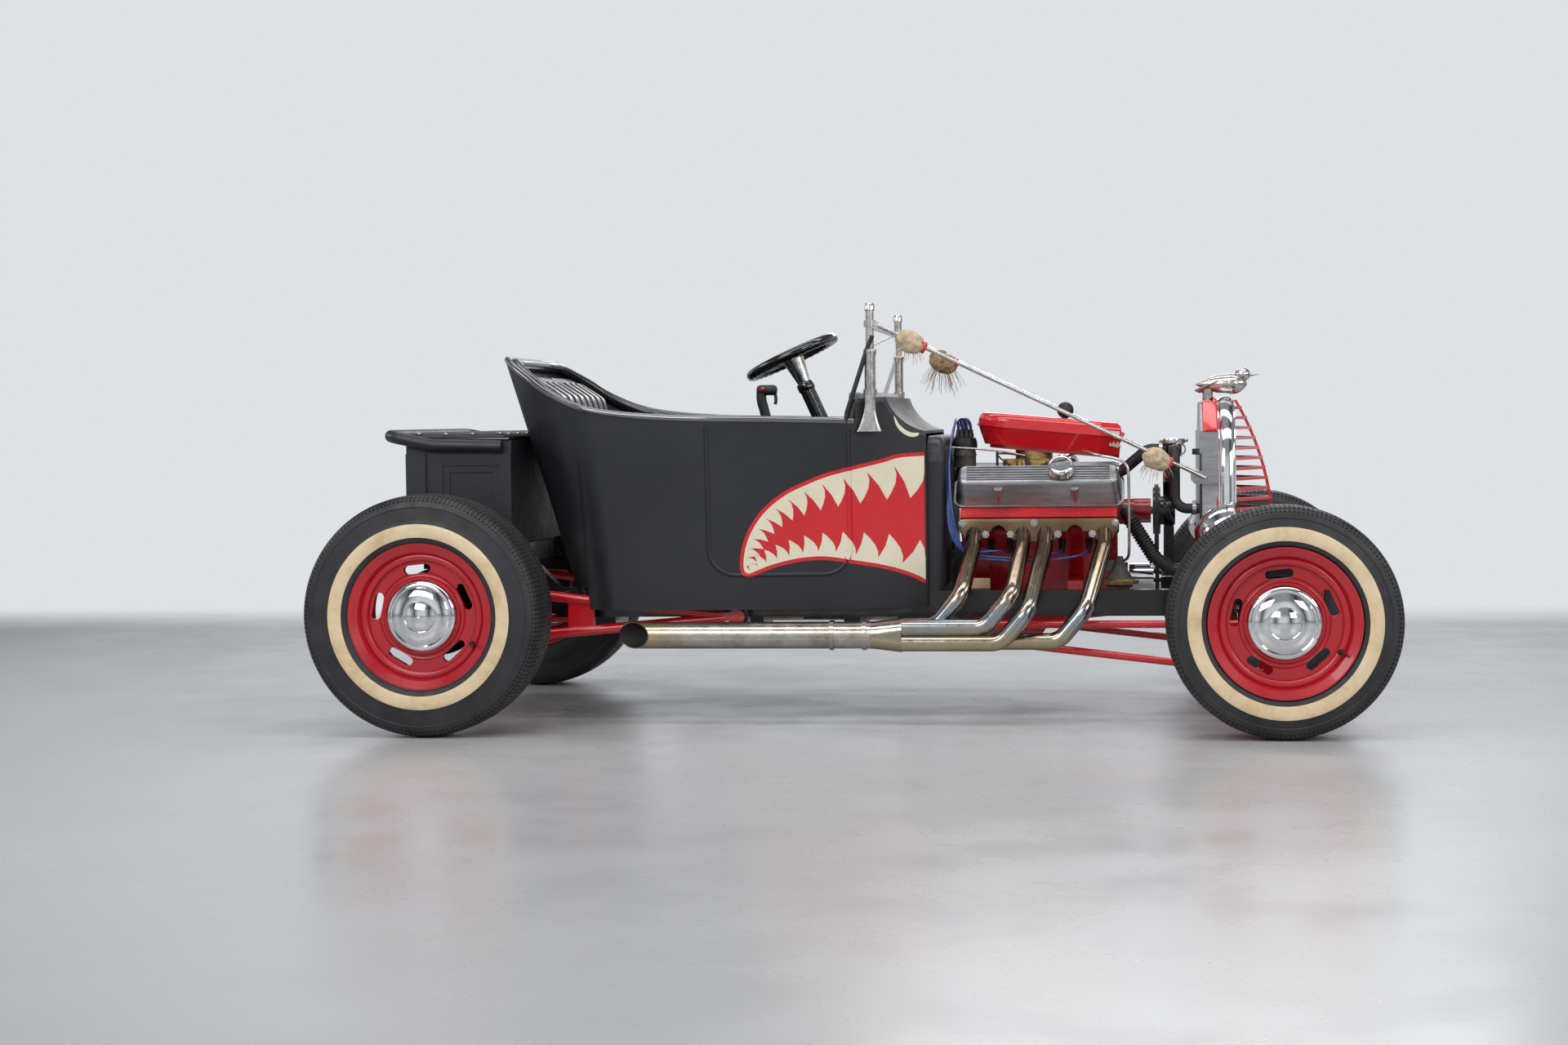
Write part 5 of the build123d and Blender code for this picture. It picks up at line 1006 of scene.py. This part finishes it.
# Tyres: a turned casing with a cream ring let into the side, and cut tread.
TREAD_CUTS = (
    # from, to (shares of half the width), depth, rib between
    (0.5, 0.94, 0.0028, 0.0034),
    (0.2, 0.39, 0.003, 0.0040),
    (-0.1, 0.1, 0.002, 0.0040),
)
CREAM_FROM, CREAM_TO = 0.2245, 0.2625


def tyre(place, x, y, radius, width):
    side = -1 if y < 0 else 1
    half = width / 2
    walls = [(r, half * share) for r, share in (
        (0.1935, 0.74), (0.199, 0.80), (0.206, 0.84), (0.212, 0.93), (0.222, 0.965), (0.224, 0.975),
        (0.236, 0.995), (0.250, 1.0), (0.262, 0.99), (0.2635, 0.982), (0.276, 0.965))]
    crown = [(radius - drop, half * share) for drop, share in (
        (0.036, 0.94), (0.034, 0.955), (0.022, 0.93), (0.012, 0.87), (0.0055, 0.78), (0.0025, 0.66),
        (0.0012, 0.49), (0.0012, 0.46), (0.009, 0.45), (0.009, 0.41), (0.0006, 0.40), (0.0002, 0.19),
        (0.0002, 0.17), (0.009, 0.16), (0.009, 0.11), (0, 0.10))]
    profile = walls + crown + [(radius, 0)] + [(r, -d) for r, d in reversed(walls + crown)]
    pitches = 84 if radius > 0.33 else 78
    casing = turned(f"tyre_{place}_rubber", profile, (x, y, radius), (0, side, 0), pitches * 2)
    for low, high, depth, rib in TREAD_CUTS:
        pick_faces(lambda m, face: low < abs(m.y - y) / half < high
                   and math.hypot(m.x - x, m.z - radius) >= radius - 0.022)
        push_in(rib, -depth, use_individual=True)
    finish_piece(casing, "tyre_rubber", 28, body=f"wheel_assembly_{place}")
    casing.data.materials.append(CREAM)
    for face in casing.data.polygons:
        middle = face.center
        outward = side * (middle.y - y) > half * 0.9
        if outward and CREAM_FROM < math.hypot(middle.x - x, middle.z - radius) < CREAM_TO:
            face.material_index = 1
    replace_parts(casing, f"tyre_{place}")


for place, (x, y, radius, width) in WHEELS.items():
    tyre(place, x, y, radius, width)


# Engine dressing: plugs and leads, distributor cap, carburettor, fuel line and covers.
def scattered(name, piece, places):
    """Copies of a piece at each place and heading, joined. The pattern itself goes."""
    copies = [aimed(piece, f"{name}_{k}", place, heading) for k, (place, heading) in enumerate(places)]
    bpy.data.objects.remove(piece)
    return joined(name, copies)


SPARK_X = (0.392, 0.446, 0.600, 0.678)
DISTRIBUTOR_X = 0.300
TOWER_TOP = 0.846
TOWER_RING = 0.024
COIL = (0.290, 0.132)


def plug_run(side, k, top, tip, end):
    """From the distributor over the edge of the firewall, down and forward below the ports."""
    x = SPARK_X[k]
    low = 0.502 - 0.009 * k
    run = [
        top, top + Vector((0, side * 0.006, 0.03)), (0.292 - 0.004 * k, side * (0.085 + 0.006 * k), 0.888),
        (0.280, side * 0.19, 0.868 - 0.006 * k), (0.272, side * (0.285 + 0.009 * k), 0.78),
        (0.268 + 0.003 * k, side * (0.318 + 0.009 * k), 0.66), (0.272 + 0.006 * k, side * 0.352, 0.56),
        (0.300 + 0.008 * k, side * 0.344, low), (0.345, side * 0.338, low),
    ]
    if k > 1:
        run.append(((0.345 + x) / 2, side * 0.338, low - 0.012))
    return run + [(x - 0.03, side * 0.342, low + 0.004), tip, end]


def plugs_and_leads():
    """Boots on the eight plugs, towers on the distributor and a lead between each pair."""
    boots, towers = [], []
    for side in (-1, 1):
        for k, x in enumerate(SPARK_X):
            heading = Vector((0, side * 0.80, -0.60))
            plug = touch(("engine_block",), (x, side * 0.9, 0.520), (0, -side, 0))
            boots.append((plug, heading))
            around = math.radians(side * (40 + 34 * k))
            top = Vector((DISTRIBUTOR_X + TOWER_RING * math.cos(around), TOWER_RING * math.sin(around),
                          TOWER_TOP))
            towers.append((top - Vector((0, 0, 0.026)), UP))
            tip, end = [plug + heading.normalized() * reach for reach in (0.048, 0.018)]
            run = plug_run(side, k, top, tip, end)
            name = f"plug_lead_{'right' if side < 0 else 'left'}_{k + 1}"
            lead(name, [Vector(p) for p in run], LEAD_BLUE)
    boot = lathe("boot", ((0, 0), (0.011, 0), (0.0115, 0.008), (0.0095, 0.014), (0.0085, 0.036),
                          (0.0095, 0.040), (0.0062, 0.050), (0, 0.050)), ORIGIN, UP, 16)
    finish_piece(scattered("spark_plug_boots", boot, boots), "rubber", 40)
    cap = lathe("distributor_cap", ((0, 0.794), (0.0375, 0.794), (0.0385, 0.800), (0.0375, 0.812),
                                    (0.034, 0.824), (0.024, 0.829), (0.010, 0.831), (0.009, 0.842),
                                    (0, 0.843)),
                (DISTRIBUTOR_X, 0, 0), UP, 36)
    tower = lathe("tower", ((0.0085, 0), (0.0085, 0.016), (0.0065, 0.020), (0.006, 0.030), (0, 0.030)),
                  ORIGIN, UP, 14)
    finish_piece(joined("distributor_cap", [cap, scattered("towers", tower, towers)]), "rubber", 40)


def ignition_coil():
    x, y = COIL
    run = [(DISTRIBUTOR_X, 0, 0.840), (DISTRIBUTOR_X, 0.012, 0.875), (0.288, 0.06, 0.885),
           (0.274, 0.11, 0.86), (0.268, 0.13, 0.80), (0.268, y, 0.765)]
    lead("coil_lead", [Vector(p) for p in run], FINISHES["rubber"])
    coil = lathe("ignition_coil", ((0, 0.66), (0.024, 0.66), (0.026, 0.664), (0.026, 0.752), (0.022, 0.758),
                                   (0.010, 0.760), (0.008, 0.772), (0, 0.772)), (x, y, 0), UP, 28)
    clip = bar("coil_clip", [(0.262, y, 0.705), (0.266, y, 0.705)], 0.02, curved=False)
    finish_piece(joined("ignition_coil", [coil, clip]), "rubber", 40)


def flat_arm(name, y, outline):
    return plate(name, [(x, y, z) for x, z in outline], -0.003)


def carburettor():
    """Bowls, levers and the choke on the gold castings."""
    pieces = []
    for x, out in ((0.434, -1), (0.588, 1)):
        bowl = block("float_bowl", (x, 0, 0.733), (0.032, 0.098, 0.044), 0.008)
        bpy.ops.object.mode_set(mode="EDIT")
        pick_faces(lambda m, face: face.normal.x * out > 0.9)
        push_in(0.006, 0.004)
        object_mode()
        pieces.append(bowl)
    for y in (-0.058, 0.058):
        pieces.append(block("metering_side", (0.511, y, 0.742), (0.074, 0.020, 0.030), 0.005))
        pieces.append(lathe("accelerator_pump", ((0, 0), (0.017, 0), (0.017, 0.008), (0.012, 0.012),
                                                 (0, 0.013)),
                            (0.470, y, 0.722), (0, -1 if y < 0 else 1, 0), 20))
    finish_piece(joined("carburettor_castings", pieces), "carb_brass", 35)
    arms = [
        flat_arm("throttle_arm", -0.077, ((0.486, 0.708), (0.500, 0.704), (0.508, 0.716), (0.500, 0.748),
                                          (0.490, 0.772), (0.482, 0.770), (0.486, 0.742))),
        flat_arm("choke_arm", -0.074, ((0.530, 0.742), (0.560, 0.752), (0.566, 0.746), (0.560, 0.740),
                                       (0.534, 0.730))),
        bar("throttle_link", [(0.486, -0.080, 0.768), (0.430, -0.092, 0.780),
                              (0.400, -0.100, 0.776)], 0.0025),
        bar("kickdown_link", [(0.492, -0.080, 0.712), (0.440, -0.086, 0.735),
                              (0.405, -0.086, 0.770)], 0.0025),
        bar("link_post", [(0.403, -0.095, 0.700), (0.403, -0.095, 0.782)], 0.004, curved=False),
    ]
    finish_piece(joined("carburettor_levers", arms), "frame_black", 40)
    rod = bar("throttle_rod", [(0.258, -0.118, 0.798), (0.402, -0.100, 0.790),
                               (0.486, -0.082, 0.770)], 0.0028)
    finish_piece(rod, "chrome", 60, AGED_CHROME)


def fuel_line():
    line = bar("fuel_line", [
        (0.590, -0.060, 0.756), (0.625, -0.100, 0.772), (0.660, -0.220, 0.786), (0.700, -0.300, 0.772),
        (0.760, -0.318, 0.764), (0.792, -0.322, 0.746), (0.795, -0.322, 0.700), (0.795, -0.322, 0.560),
        (0.795, -0.318, 0.500), (0.792, -0.290, 0.468), (0.778, -0.262, 0.462),
    ], 0.0042, steps=8)
    finish_piece(line, "chrome", 60, AGED_CHROME)
    ring = lathe("fuel_pump_ring", ((0.050, 0.392), (0.056, 0.394), (0.057, 0.404), (0.051, 0.408),
                                    (0.047, 0.404)),
                 (0.766, -0.238, 0), UP, 40)
    finish_piece(ring, "carb_brass", 40)
    box = block("starter_shield", (0.350, -0.282, 0.398), (0.078, 0.012, 0.032), 0.003)
    finish_piece(box, "cast_aluminium", 40, CREAM)


# The air cleaner's own plane: its origin and tilt. The teeth are in millimetres along and up from there.
SCOOP_X, SCOOP_Z, SCOOP_TILT = 0.550, 0.789, math.radians(5.5)
SCOOP_TEETH = {
    "upper": ((182, 71), (213, 71), (213, 60), (209, 49), (203, 61), (198, 50), (192, 63), (187, 55)),
    "lower": ((184, 27), (213, 22), (213, 30), (209, 42), (203, 31), (198, 41), (192, 31), (187, 38)),
}


def air_cleaner_teeth():
    """Painted teeth round the scoop's mouth, on both cheeks."""
    form = node_copy("scoop_form", ("air_cleaner",))
    cos, sin = math.cos(SCOOP_TILT), math.sin(SCOOP_TILT)
    for name, row in SCOOP_TEETH.items():
        outline = [(SCOOP_X + x / 1000 * cos + z / 1000 * sin, SCOOP_Z - x / 1000 * sin + z / 1000 * cos)
                   for x, z in row]
        patch = painted_patch(f"scoop_teeth_{name}_right", outline, form, 0.0009,
                              [0.735 + 0.006 * k for k in range(8)], ())
        both_sides(patch, "tyre_rubber", 20, IVORY)
    bpy.data.objects.remove(form)


# Half of the radiator's outline: upright sides, then an arc about its crown's centre.
SHELL_SIDE = ((0.221, 0.470), (0.2245, 0.540), (0.225, 0.615), (0.2215, 0.690), (0.2145, 0.745),
              (0.207, 0.780))
CROWN_Z, CROWN_R = 0.720, 0.216
TANK_TOP = ((0.234, 0.836), (0.234, 0.846), (0.180, 0.891), (0.136, 0.927), (0.090, 0.929))


def grille_trim():
    """The rounded chrome moulding of the shell, the red flange behind it and the red tank top."""
    start = math.degrees(math.atan2(0.060, 0.2075))
    turns = [math.radians(start + (90 - start) * k / 8) for k in range(1, 9)]
    arch = list(SHELL_SIDE) + [(CROWN_R * math.cos(a), CROWN_Z + CROWN_R * math.sin(a)) for a in turns]
    whole = [(-y, z) for y, z in arch] + [(y, z) for y, z in reversed(arch[:-1])]
    inner = [(y * 0.976, CROWN_Z + (z - CROWN_Z) * 0.976 if z > 0.78 else z) for y, z in whole]
    moulding = bar("grille_moulding", [(1.081, y, z) for y, z in inner], 0.0118, sides=8, steps=5)
    edit(moulding)
    bpy.ops.transform.resize(value=(2.15, 1, 1), center_override=(1.081, 0, 0))
    finish_piece(moulding, "chrome", 60)
    flange = bar("grille_flange", [(1.0515, y * 1.006, z) for y, z in whole], 0.0052, curved=False)
    finish_piece(flange, "rod_red", 60)
    outline = [(-y, z) for y, z in TANK_TOP] + list(reversed(TANK_TOP))
    tank = plate("radiator_top_tank", [(1.010, y, z) for y, z in outline], 0.044, across=(1, 0, 0))
    with_modifier(tank, "BEVEL", width=0.006, segments=3)
    finish_piece(tank, "rod_red", 40)
    stay = bar("radiator_stay", [(0.985, -0.226, 0.782), (1.004, -0.228, 0.770), (1.004, -0.230, 0.560),
                                 (0.998, -0.232, 0.470)], 0.004, curved=False)
    bracket = block("stay_plate", (0.996, -0.226, 0.779), (0.034, 0.004, 0.018), 0.001, 1)
    finish_piece(joined("radiator_stay", [stay, bracket]), "frame_black", 40)


# Lower edge of the header flange, from front to rear, dipping under each port.
FLANGE_EDGE = (
    (0.760, 0.590), (0.764, 0.560), (0.748, 0.532), (0.722, 0.524), (0.696, 0.532), (0.682, 0.552),
    (0.662, 0.552), (0.654, 0.566), (0.639, 0.572), (0.624, 0.566), (0.616, 0.552), (0.598, 0.552),
    (0.584, 0.530), (0.556, 0.524), (0.522, 0.524), (0.486, 0.524), (0.458, 0.530), (0.446, 0.552),
    (0.440, 0.552), (0.432, 0.566), (0.417, 0.572), (0.402, 0.566), (0.394, 0.552), (0.386, 0.552),
    (0.372, 0.532), (0.346, 0.524), (0.320, 0.532), (0.306, 0.560), (0.312, 0.590),
)
FLANGE_BOLTS = ((0.312, 0.578), (0.380, 0.545), (0.452, 0.545), (0.521, 0.578), (0.590, 0.545),
                (0.689, 0.545), (0.756, 0.578))


def header_flanges():
    """The browned plates that the pipes are welded to, with their hexagon bolts."""
    flange = plate("header_flange_right", [(x, -0.3335, z) for x, z in FLANGE_EDGE], -0.0075)
    with_modifier(flange, "BEVEL", width=0.0012, segments=2)
    both_sides(flange, "header_steel", 35, FLANGE_BROWN)
    bolt = lathe("bolt_head", ((0, 0), (0.01105, 0), (0.01105, 0.0016), (0.00754, 0.0018), (0.00754, 0.0065),
                               (0.00611, 0.008), (0, 0.008)), ORIGIN, UP, 6)
    places = [((x, side * 0.341, z), (0, side, 0)) for x, z in FLANGE_BOLTS for side in (-1, 1)]
    finish_piece(scattered("header_bolts", bolt, places), "cast_grey", 30, AGED_CHROME)


def pipe_insides():
    """Soot and painted shade in the slash-cut ends: a dark liner inside each pipe."""
    liner = turned("exhaust_inside_right", ((0.0354, -0.689), (0.0354, -0.56), (0.0354, -0.42), (0, -0.42)),
                   (0, -0.520, 0.266), (1, 0, 0), 40)
    all_of_it()
    bpy.ops.mesh.bisect(plane_co=(-0.5725, -0.559, 0.266), plane_no=(-0.558, -0.830, 0), clear_outer=True)
    all_of_it()
    bpy.ops.mesh.flip_normals()
    both_sides(liner, "pipe_steel", 60, SOOT_AND_SHADE)


FILLER = (0.929, -0.070)


def filler_neck():
    x, y = FILLER
    neck = lathe("filler_neck", ((0.0225, 0.766), (0.0235, 0.768), (0.0235, 0.796), (0.0290, 0.800),
                                 (0.0332, 0.803), (0.0335, 0.812), (0.0325, 0.8165), (0.012, 0.8185),
                                 (0, 0.8185)),
                 (x, y, 0), UP, 40)
    ears = [block("cap_ear", (x + step, y, 0.811), (0.012, 0.020, 0.010), 0.003) for step in (-0.036, 0.036)]
    finish_piece(joined("filler_neck", [neck] + ears), "chrome", 40, AGED_CHROME)


CLAMPS = (
    # middle, along the hose, radius
    ((0.760, -0.040, 0.720), (1, 0, 0), 0.0195),
    ((0.890, -0.070, 0.785), (1, 0, 0), 0.0195),
    ((0.945, -0.110, 0.785), (0, 1, 0), 0.0175),
    ((0.985, -0.212, 0.612), (1, 0, 0), 0.0175),
    ((0.788, -0.110, 0.598), (0, 1, 0), 0.0215),
    ((0.985, -0.186, 0.430), (1, 0, 0), 0.0215),
)


def hose_clamps():
    """Bands with their screws, and the folds of the corrugated lower hose."""
    rings = []
    for place, heading, r in CLAMPS:
        rings.append(lathe("clamp", ((r - 0.003, -0.006), (r, -0.0065), (r + 0.0012, -0.005),
                                     (r + 0.0012, 0.005), (r, 0.0065),
                                     (r - 0.003, 0.006)), place, heading, 28))
        top = Vector(place) + Vector((0, 0, r + 0.003))
        rings.append(block("clamp_screw", top, (0.011, 0.011, 0.006), 0.001, 1))
    finish_piece(joined("hose_clamps", rings), "chrome", 35, AGED_CHROME)
    fold = lathe("hose_fold", ((0.018, -0.004), (0.0215, -0.0025), (0.0225, 0), (0.0215, 0.0025),
                               (0.018, 0.004)),
                 ORIGIN, UP, 20)
    low, high = Vector((0.872, -0.186, 0.462)), Vector((0.800, -0.160, 0.575))
    folds = [(low.lerp(high, k / 14), high - low) for k in range(15)]
    finish_piece(scattered("lower_hose_folds", fold, folds), "rubber", 50)


plugs_and_leads()
ignition_coil()
carburettor()
fuel_line()
air_cleaner_teeth()
header_flanges()
pipe_insides()
filler_neck()
grille_trim()
hose_clamps()


# Windshield and controls.
POST_X, POST_Y = 0.058, 0.458


def windshield_trim():
    """The rear braces, and a cap and band on each post."""
    brace = bar("windshield_brace_right", [(0.066, -0.466, 1.126), (0.050, -0.468, 1.085),
                                           (-0.010, -0.462, 0.905),
                                           (-0.014, -0.460, 0.876)], 0.0068, curved=False)
    both_sides(brace, "rubber", 60)
    rings = [
        lathe("post_ring", ring, (POST_X, y, 0), UP, 24) for y in (-POST_Y, POST_Y) for ring in (
            ((0.0125, 1.196), (0.0142, 1.198), (0.0142, 1.214), (0.012, 1.2185), (0, 1.2195)),
            ((0.0165, 1.072), (0.0185, 1.074), (0.019, 1.080), (0.0185, 1.086), (0.012, 1.088)))
    ]
    finish_piece(joined("windshield_post_caps", rings), "chrome", 40, AGED_CHROME)


WHEEL_TILT = math.radians(24.4)
WHEEL_CENTRE = Vector((-0.260, 0.250, 1.085))
WHEEL_R = 0.143
GRIP_R = 0.0152
FINGER_GRIPS = 36


def steering_grip():
    """The black moulded rim, with finger grips along its underside, and the column's collar."""
    axis = Vector((math.sin(WHEEL_TILT), 0, -math.cos(WHEEL_TILT)))
    turns = [math.radians(30 * k) for k in range(13)]
    section = [(WHEEL_R + GRIP_R * math.cos(turn), GRIP_R * math.sin(turn)) for turn in turns]
    grip = lathe("steering_wheel_grip", section, WHEEL_CENTRE, axis, 144)
    flat = axis.orthogonal().normalized()
    other = axis.cross(flat)
    for vertex in grip.data.vertices:
        out = vertex.co - WHEEL_CENTRE
        turn = math.atan2(out.dot(other), out.dot(flat))
        if out.dot(axis) > 0.002:
            vertex.co += axis * 0.0016 * (math.cos(turn * FINGER_GRIPS) * 0.5 + 0.5)
    finish_piece(grip, "rubber", 60, GRIP_BLACK, "steering_wheel_body")
    collar = turned("steering_column_collar", ((0.0125, 0.090), (0.0255, 0.0905), (0.0275, 0.094),
                                               (0.0275, 0.112), (0.0255, 0.116),
                                               (0.0245, 0.117)), WHEEL_CENTRE, axis, 32)
    finish_piece(collar, "frame_black", 50, GRIP_BLACK)


def shift_handle():
    handle = bar("shift_handle", [(-0.304, 0, 0.868), (-0.315, 0, 0.915), (-0.326, 0, 0.950),
                                  (-0.324, 0, 0.974)],
                 0.0155, sides=6)
    head = block("shift_head", (-0.307, 0, 0.978), (0.064, 0.034, 0.032), 0.013, 4)
    button = lathe("shift_button", ((0.006, 0), (0.006, 0.005), (0.004, 0.007), (0, 0.007)),
                   (-0.318, -0.015, 0.982), (0, -1, 0), 16)
    trigger = bar("shift_trigger", [(-0.282, 0, 0.968), (-0.277, 0, 0.950), (-0.282, 0, 0.934)], 0.005)
    finish_piece(joined("shift_handle", [handle, head, trigger]), "rubber", 50)
    finish_piece(button, "rod_red", 50)


def dash_dials():
    places = [((-0.006, y, 0.885), (-1, 0, 0)) for y in (-0.075, 0.0, 0.075, 0.16)]
    bezel = lathe("bezel", ((0.026, 0), (0.030, 0.001), (0.031, 0.005), (0.028, 0.007), (0.0255, 0.0045)),
                  ORIGIN, UP, 32)
    face = lathe("dial", ((0, 0.002), (0.0262, 0.002), (0.0262, 0.001)), ORIGIN, UP, 32)
    finish_piece(scattered("dash_bezels", bezel, places), "chrome", 40)
    finish_piece(scattered("dash_dials", face, places), "upholstery", 40, CREAM)


windshield_trim()
steering_grip()
shift_handle()
dash_dials()


# Tufted balls tied on the stay rods, which run from the posts to the radiator.
STAY_START, STAY_END = (0.078, 0.458, 1.156), (1.016, 0.258, 0.703)
LONG_STRANDS_FROM = 40


def tuft_finish(name, light, dark):
    made = mottled(name, light, 0.85, ((55, 5, 0.7), (0.32, dark), (0.62, light)),
                   bump=((260, 5, 0.8), 0.0015, 0.8), sheen=0.3)
    return made.material


def yarn_ball(name, long, thick, rng):
    """A lumpy ball, long along X."""
    deselect()
    bpy.ops.mesh.primitive_ico_sphere_add(subdivisions=5, radius=1, location=ORIGIN)
    ball = bpy.context.object
    ball.name = name
    lumps = [Vector([rng.uniform(-1, 1) for _ in range(3)]).normalized() for _ in range(46)]
    for vertex in ball.data.vertices:
        near = max(vertex.co.dot(lump) for lump in lumps)
        vertex.co *= 0.80 + 0.20 * max(0, (near - 0.86) / 0.14) ** 0.6 + rng.uniform(-0.012, 0.012)
        vertex.co *= Vector((long, thick, thick))
    return ball


def yarn_strand(centre, long, thick, loose, rng):
    """One strand out of the ball and down, longer on a loose ball."""
    out = Vector((rng.uniform(-1, 0.6), rng.uniform(-0.7, 0.7), rng.uniform(-1, -0.25))).normalized()
    root = centre + out * Vector((long, thick, thick)) * 0.75
    reach = rng.uniform(0.03, 0.075) if loose else rng.uniform(0.018, 0.042)
    sway = [rng.uniform(-0.008, 0.008) for _ in range(2)]
    tip = root + out * reach * 0.6 + Vector((*sway, -reach * 0.6))
    middle = root.lerp(tip, 0.5) + out * reach * 0.16
    return bar("strand", [root, middle, tip], 0.0006, sides=0, steps=3)


def tufted_ball(name, side, along, drop, long, thick, strands, seed, material):
    """A stitched, lumpy ball of yarn on the rod with loose strands under it and a red collar."""
    rng = random.Random(seed)
    a, b = [Vector((x, side * y, z)) for x, y, z in (STAY_START, STAY_END)]
    centre = a.lerp(b, along) - Vector((0, 0, drop))
    heading = (b - a).normalized()
    ball = yarn_ball(name, long, thick, rng)
    turn = Vector((1, 0, 0)).rotation_difference(heading)
    ball.matrix_world = Matrix.Translation(centre) @ turn.to_matrix().to_4x4()
    bpy.ops.object.transform_apply()
    hairs = [yarn_strand(centre, long, thick, strands >= LONG_STRANDS_FROM, rng) for _ in range(strands)]
    finish_piece(joined(name, [ball] + hairs), "upholstery", 60, material)
    collar_at = centre + heading * long * 0.86 + Vector((0, 0, drop * 0.5))
    collar = lathe(f"{name}_collar", ((0.007, -0.009), (0.016, -0.010), (0.0185, -0.006), (0.0165, 0),
                                      (0.019, 0.006), (0.0155, 0.011),
                                      (0.007, 0.010)), collar_at, heading, 24)
    finish_piece(collar, "rod_red", 50, MOUTH_RED)


PALE_YARN = tuft_finish("pale_yarn", paint(214, 196, 166), paint(168, 140, 104))
BROWN_YARN = tuft_finish("brown_yarn", paint(176, 148, 108), paint(108, 78, 50))
for row in (
    # place, side, share of the rod, hang, half length, half thickness, strands, seed, yarn
    ("upper_right", -1, 0.100, 0.004, 0.046, 0.033, 26, 3, PALE_YARN),
    ("upper_left", 1, 0.135, 0.030, 0.050, 0.038, 60, 5, BROWN_YARN),
    ("lower_right", -1, 0.850, 0.012, 0.044, 0.034, 30, 8, PALE_YARN),
    ("lower_left", 1, 0.700, 0.008, 0.040, 0.031, 26, 11, BROWN_YARN),
):
    tufted_ball(f"tufted_ball_{row[0]}", *row[1:])


# Small parts of the wheels, bed and lamps.
VALVE_RING, VALVE_TURN = 0.166, math.radians(-28)


def valve_stems():
    for place, (x, y, radius, _) in WHEELS.items():
        side = -1 if y < 0 else 1
        spot_x, spot_z = x + VALVE_RING * math.cos(VALVE_TURN), radius + VALVE_RING * math.sin(VALVE_TURN)
        rim = touch((f"wheel_{place}",), (spot_x, side * 1.2, spot_z), (0, -side, 0))
        stem = lathe(f"valve_stem_{place}", (
            (0, -0.004), (0.0075, -0.004), (0.0085, 0.002), (0.006, 0.008), (0.0045, 0.020), (0.0048, 0.021),
            (0.0048, 0.030), (0.003, 0.032), (0, 0.032)), rim, (0.25, side, -0.1), 18)
        finish_piece(stem, "rubber", 50, body=f"wheel_assembly_{place}")


def bed_cover():
    """The soft cover over the bed, its snaps and the piping round its edge."""
    cover = stuffed("tonneau_cover_pad", "tonneau_cover", 0.0085, 0.006, 0.002, 0)
    soft_piece(cover, "cover_black", "tonneau_cover")
    rows = [(x, y) for x in [-1.29 + 0.082 * k for k in range(4)] for y in (-0.432, 0.432)]
    rows += [(x, y) for y in [-0.36 + 0.12 * k for k in range(7)] for x in (-1.306, -1.034)]
    tops = [cover.ray_cast(Vector((x, y, 1.5)), Vector((0, 0, -1))) for x, y in rows]
    snap = lathe("snap", ((0.0075, 0), (0.0080, 0.001), (0.0070, 0.0032), (0.004, 0.0044), (0, 0.0047)),
                 ORIGIN, UP, 14)
    places = [(top - Vector((0, 0, 0.0005)), UP) for met, top, _, _ in tops if met]
    finish_piece(scattered("tonneau_snaps", snap, places), "chrome", 40, AGED_CHROME)
    corner = ((-1.012, 0.450), (-1.320, 0.450), (-1.324, 0.446))
    edge = [(x, -y, 0.8395) for x, y in corner] + [(x, y, 0.8395) for x, y in reversed(corner)]
    finish_piece(bar("tonneau_piping", edge, 0.0045, curved=False), "upholstery", 50)


LAMP_Y, LAMP_Z = 0.400, 0.542


def lamp_trim():
    for y, name in ((-LAMP_Y, "right"), (LAMP_Y, "left")):
        front = touch(("headlamps",), (1.5, y, LAMP_Z), (-1, 0, 0))
        lens = lathe(f"headlamp_lens_{name}", (
            (0, 0.010), (0.030, 0.0095), (0.055, 0.007), (0.074, 0.003), (0.080, 0.001), (0.080, -0.001)),
            (front.x, y, LAMP_Z), (1, 0, 0), 48)
        finish_piece(lens, "glass", 40)


valve_stems()
bed_cover()
lamp_trim()
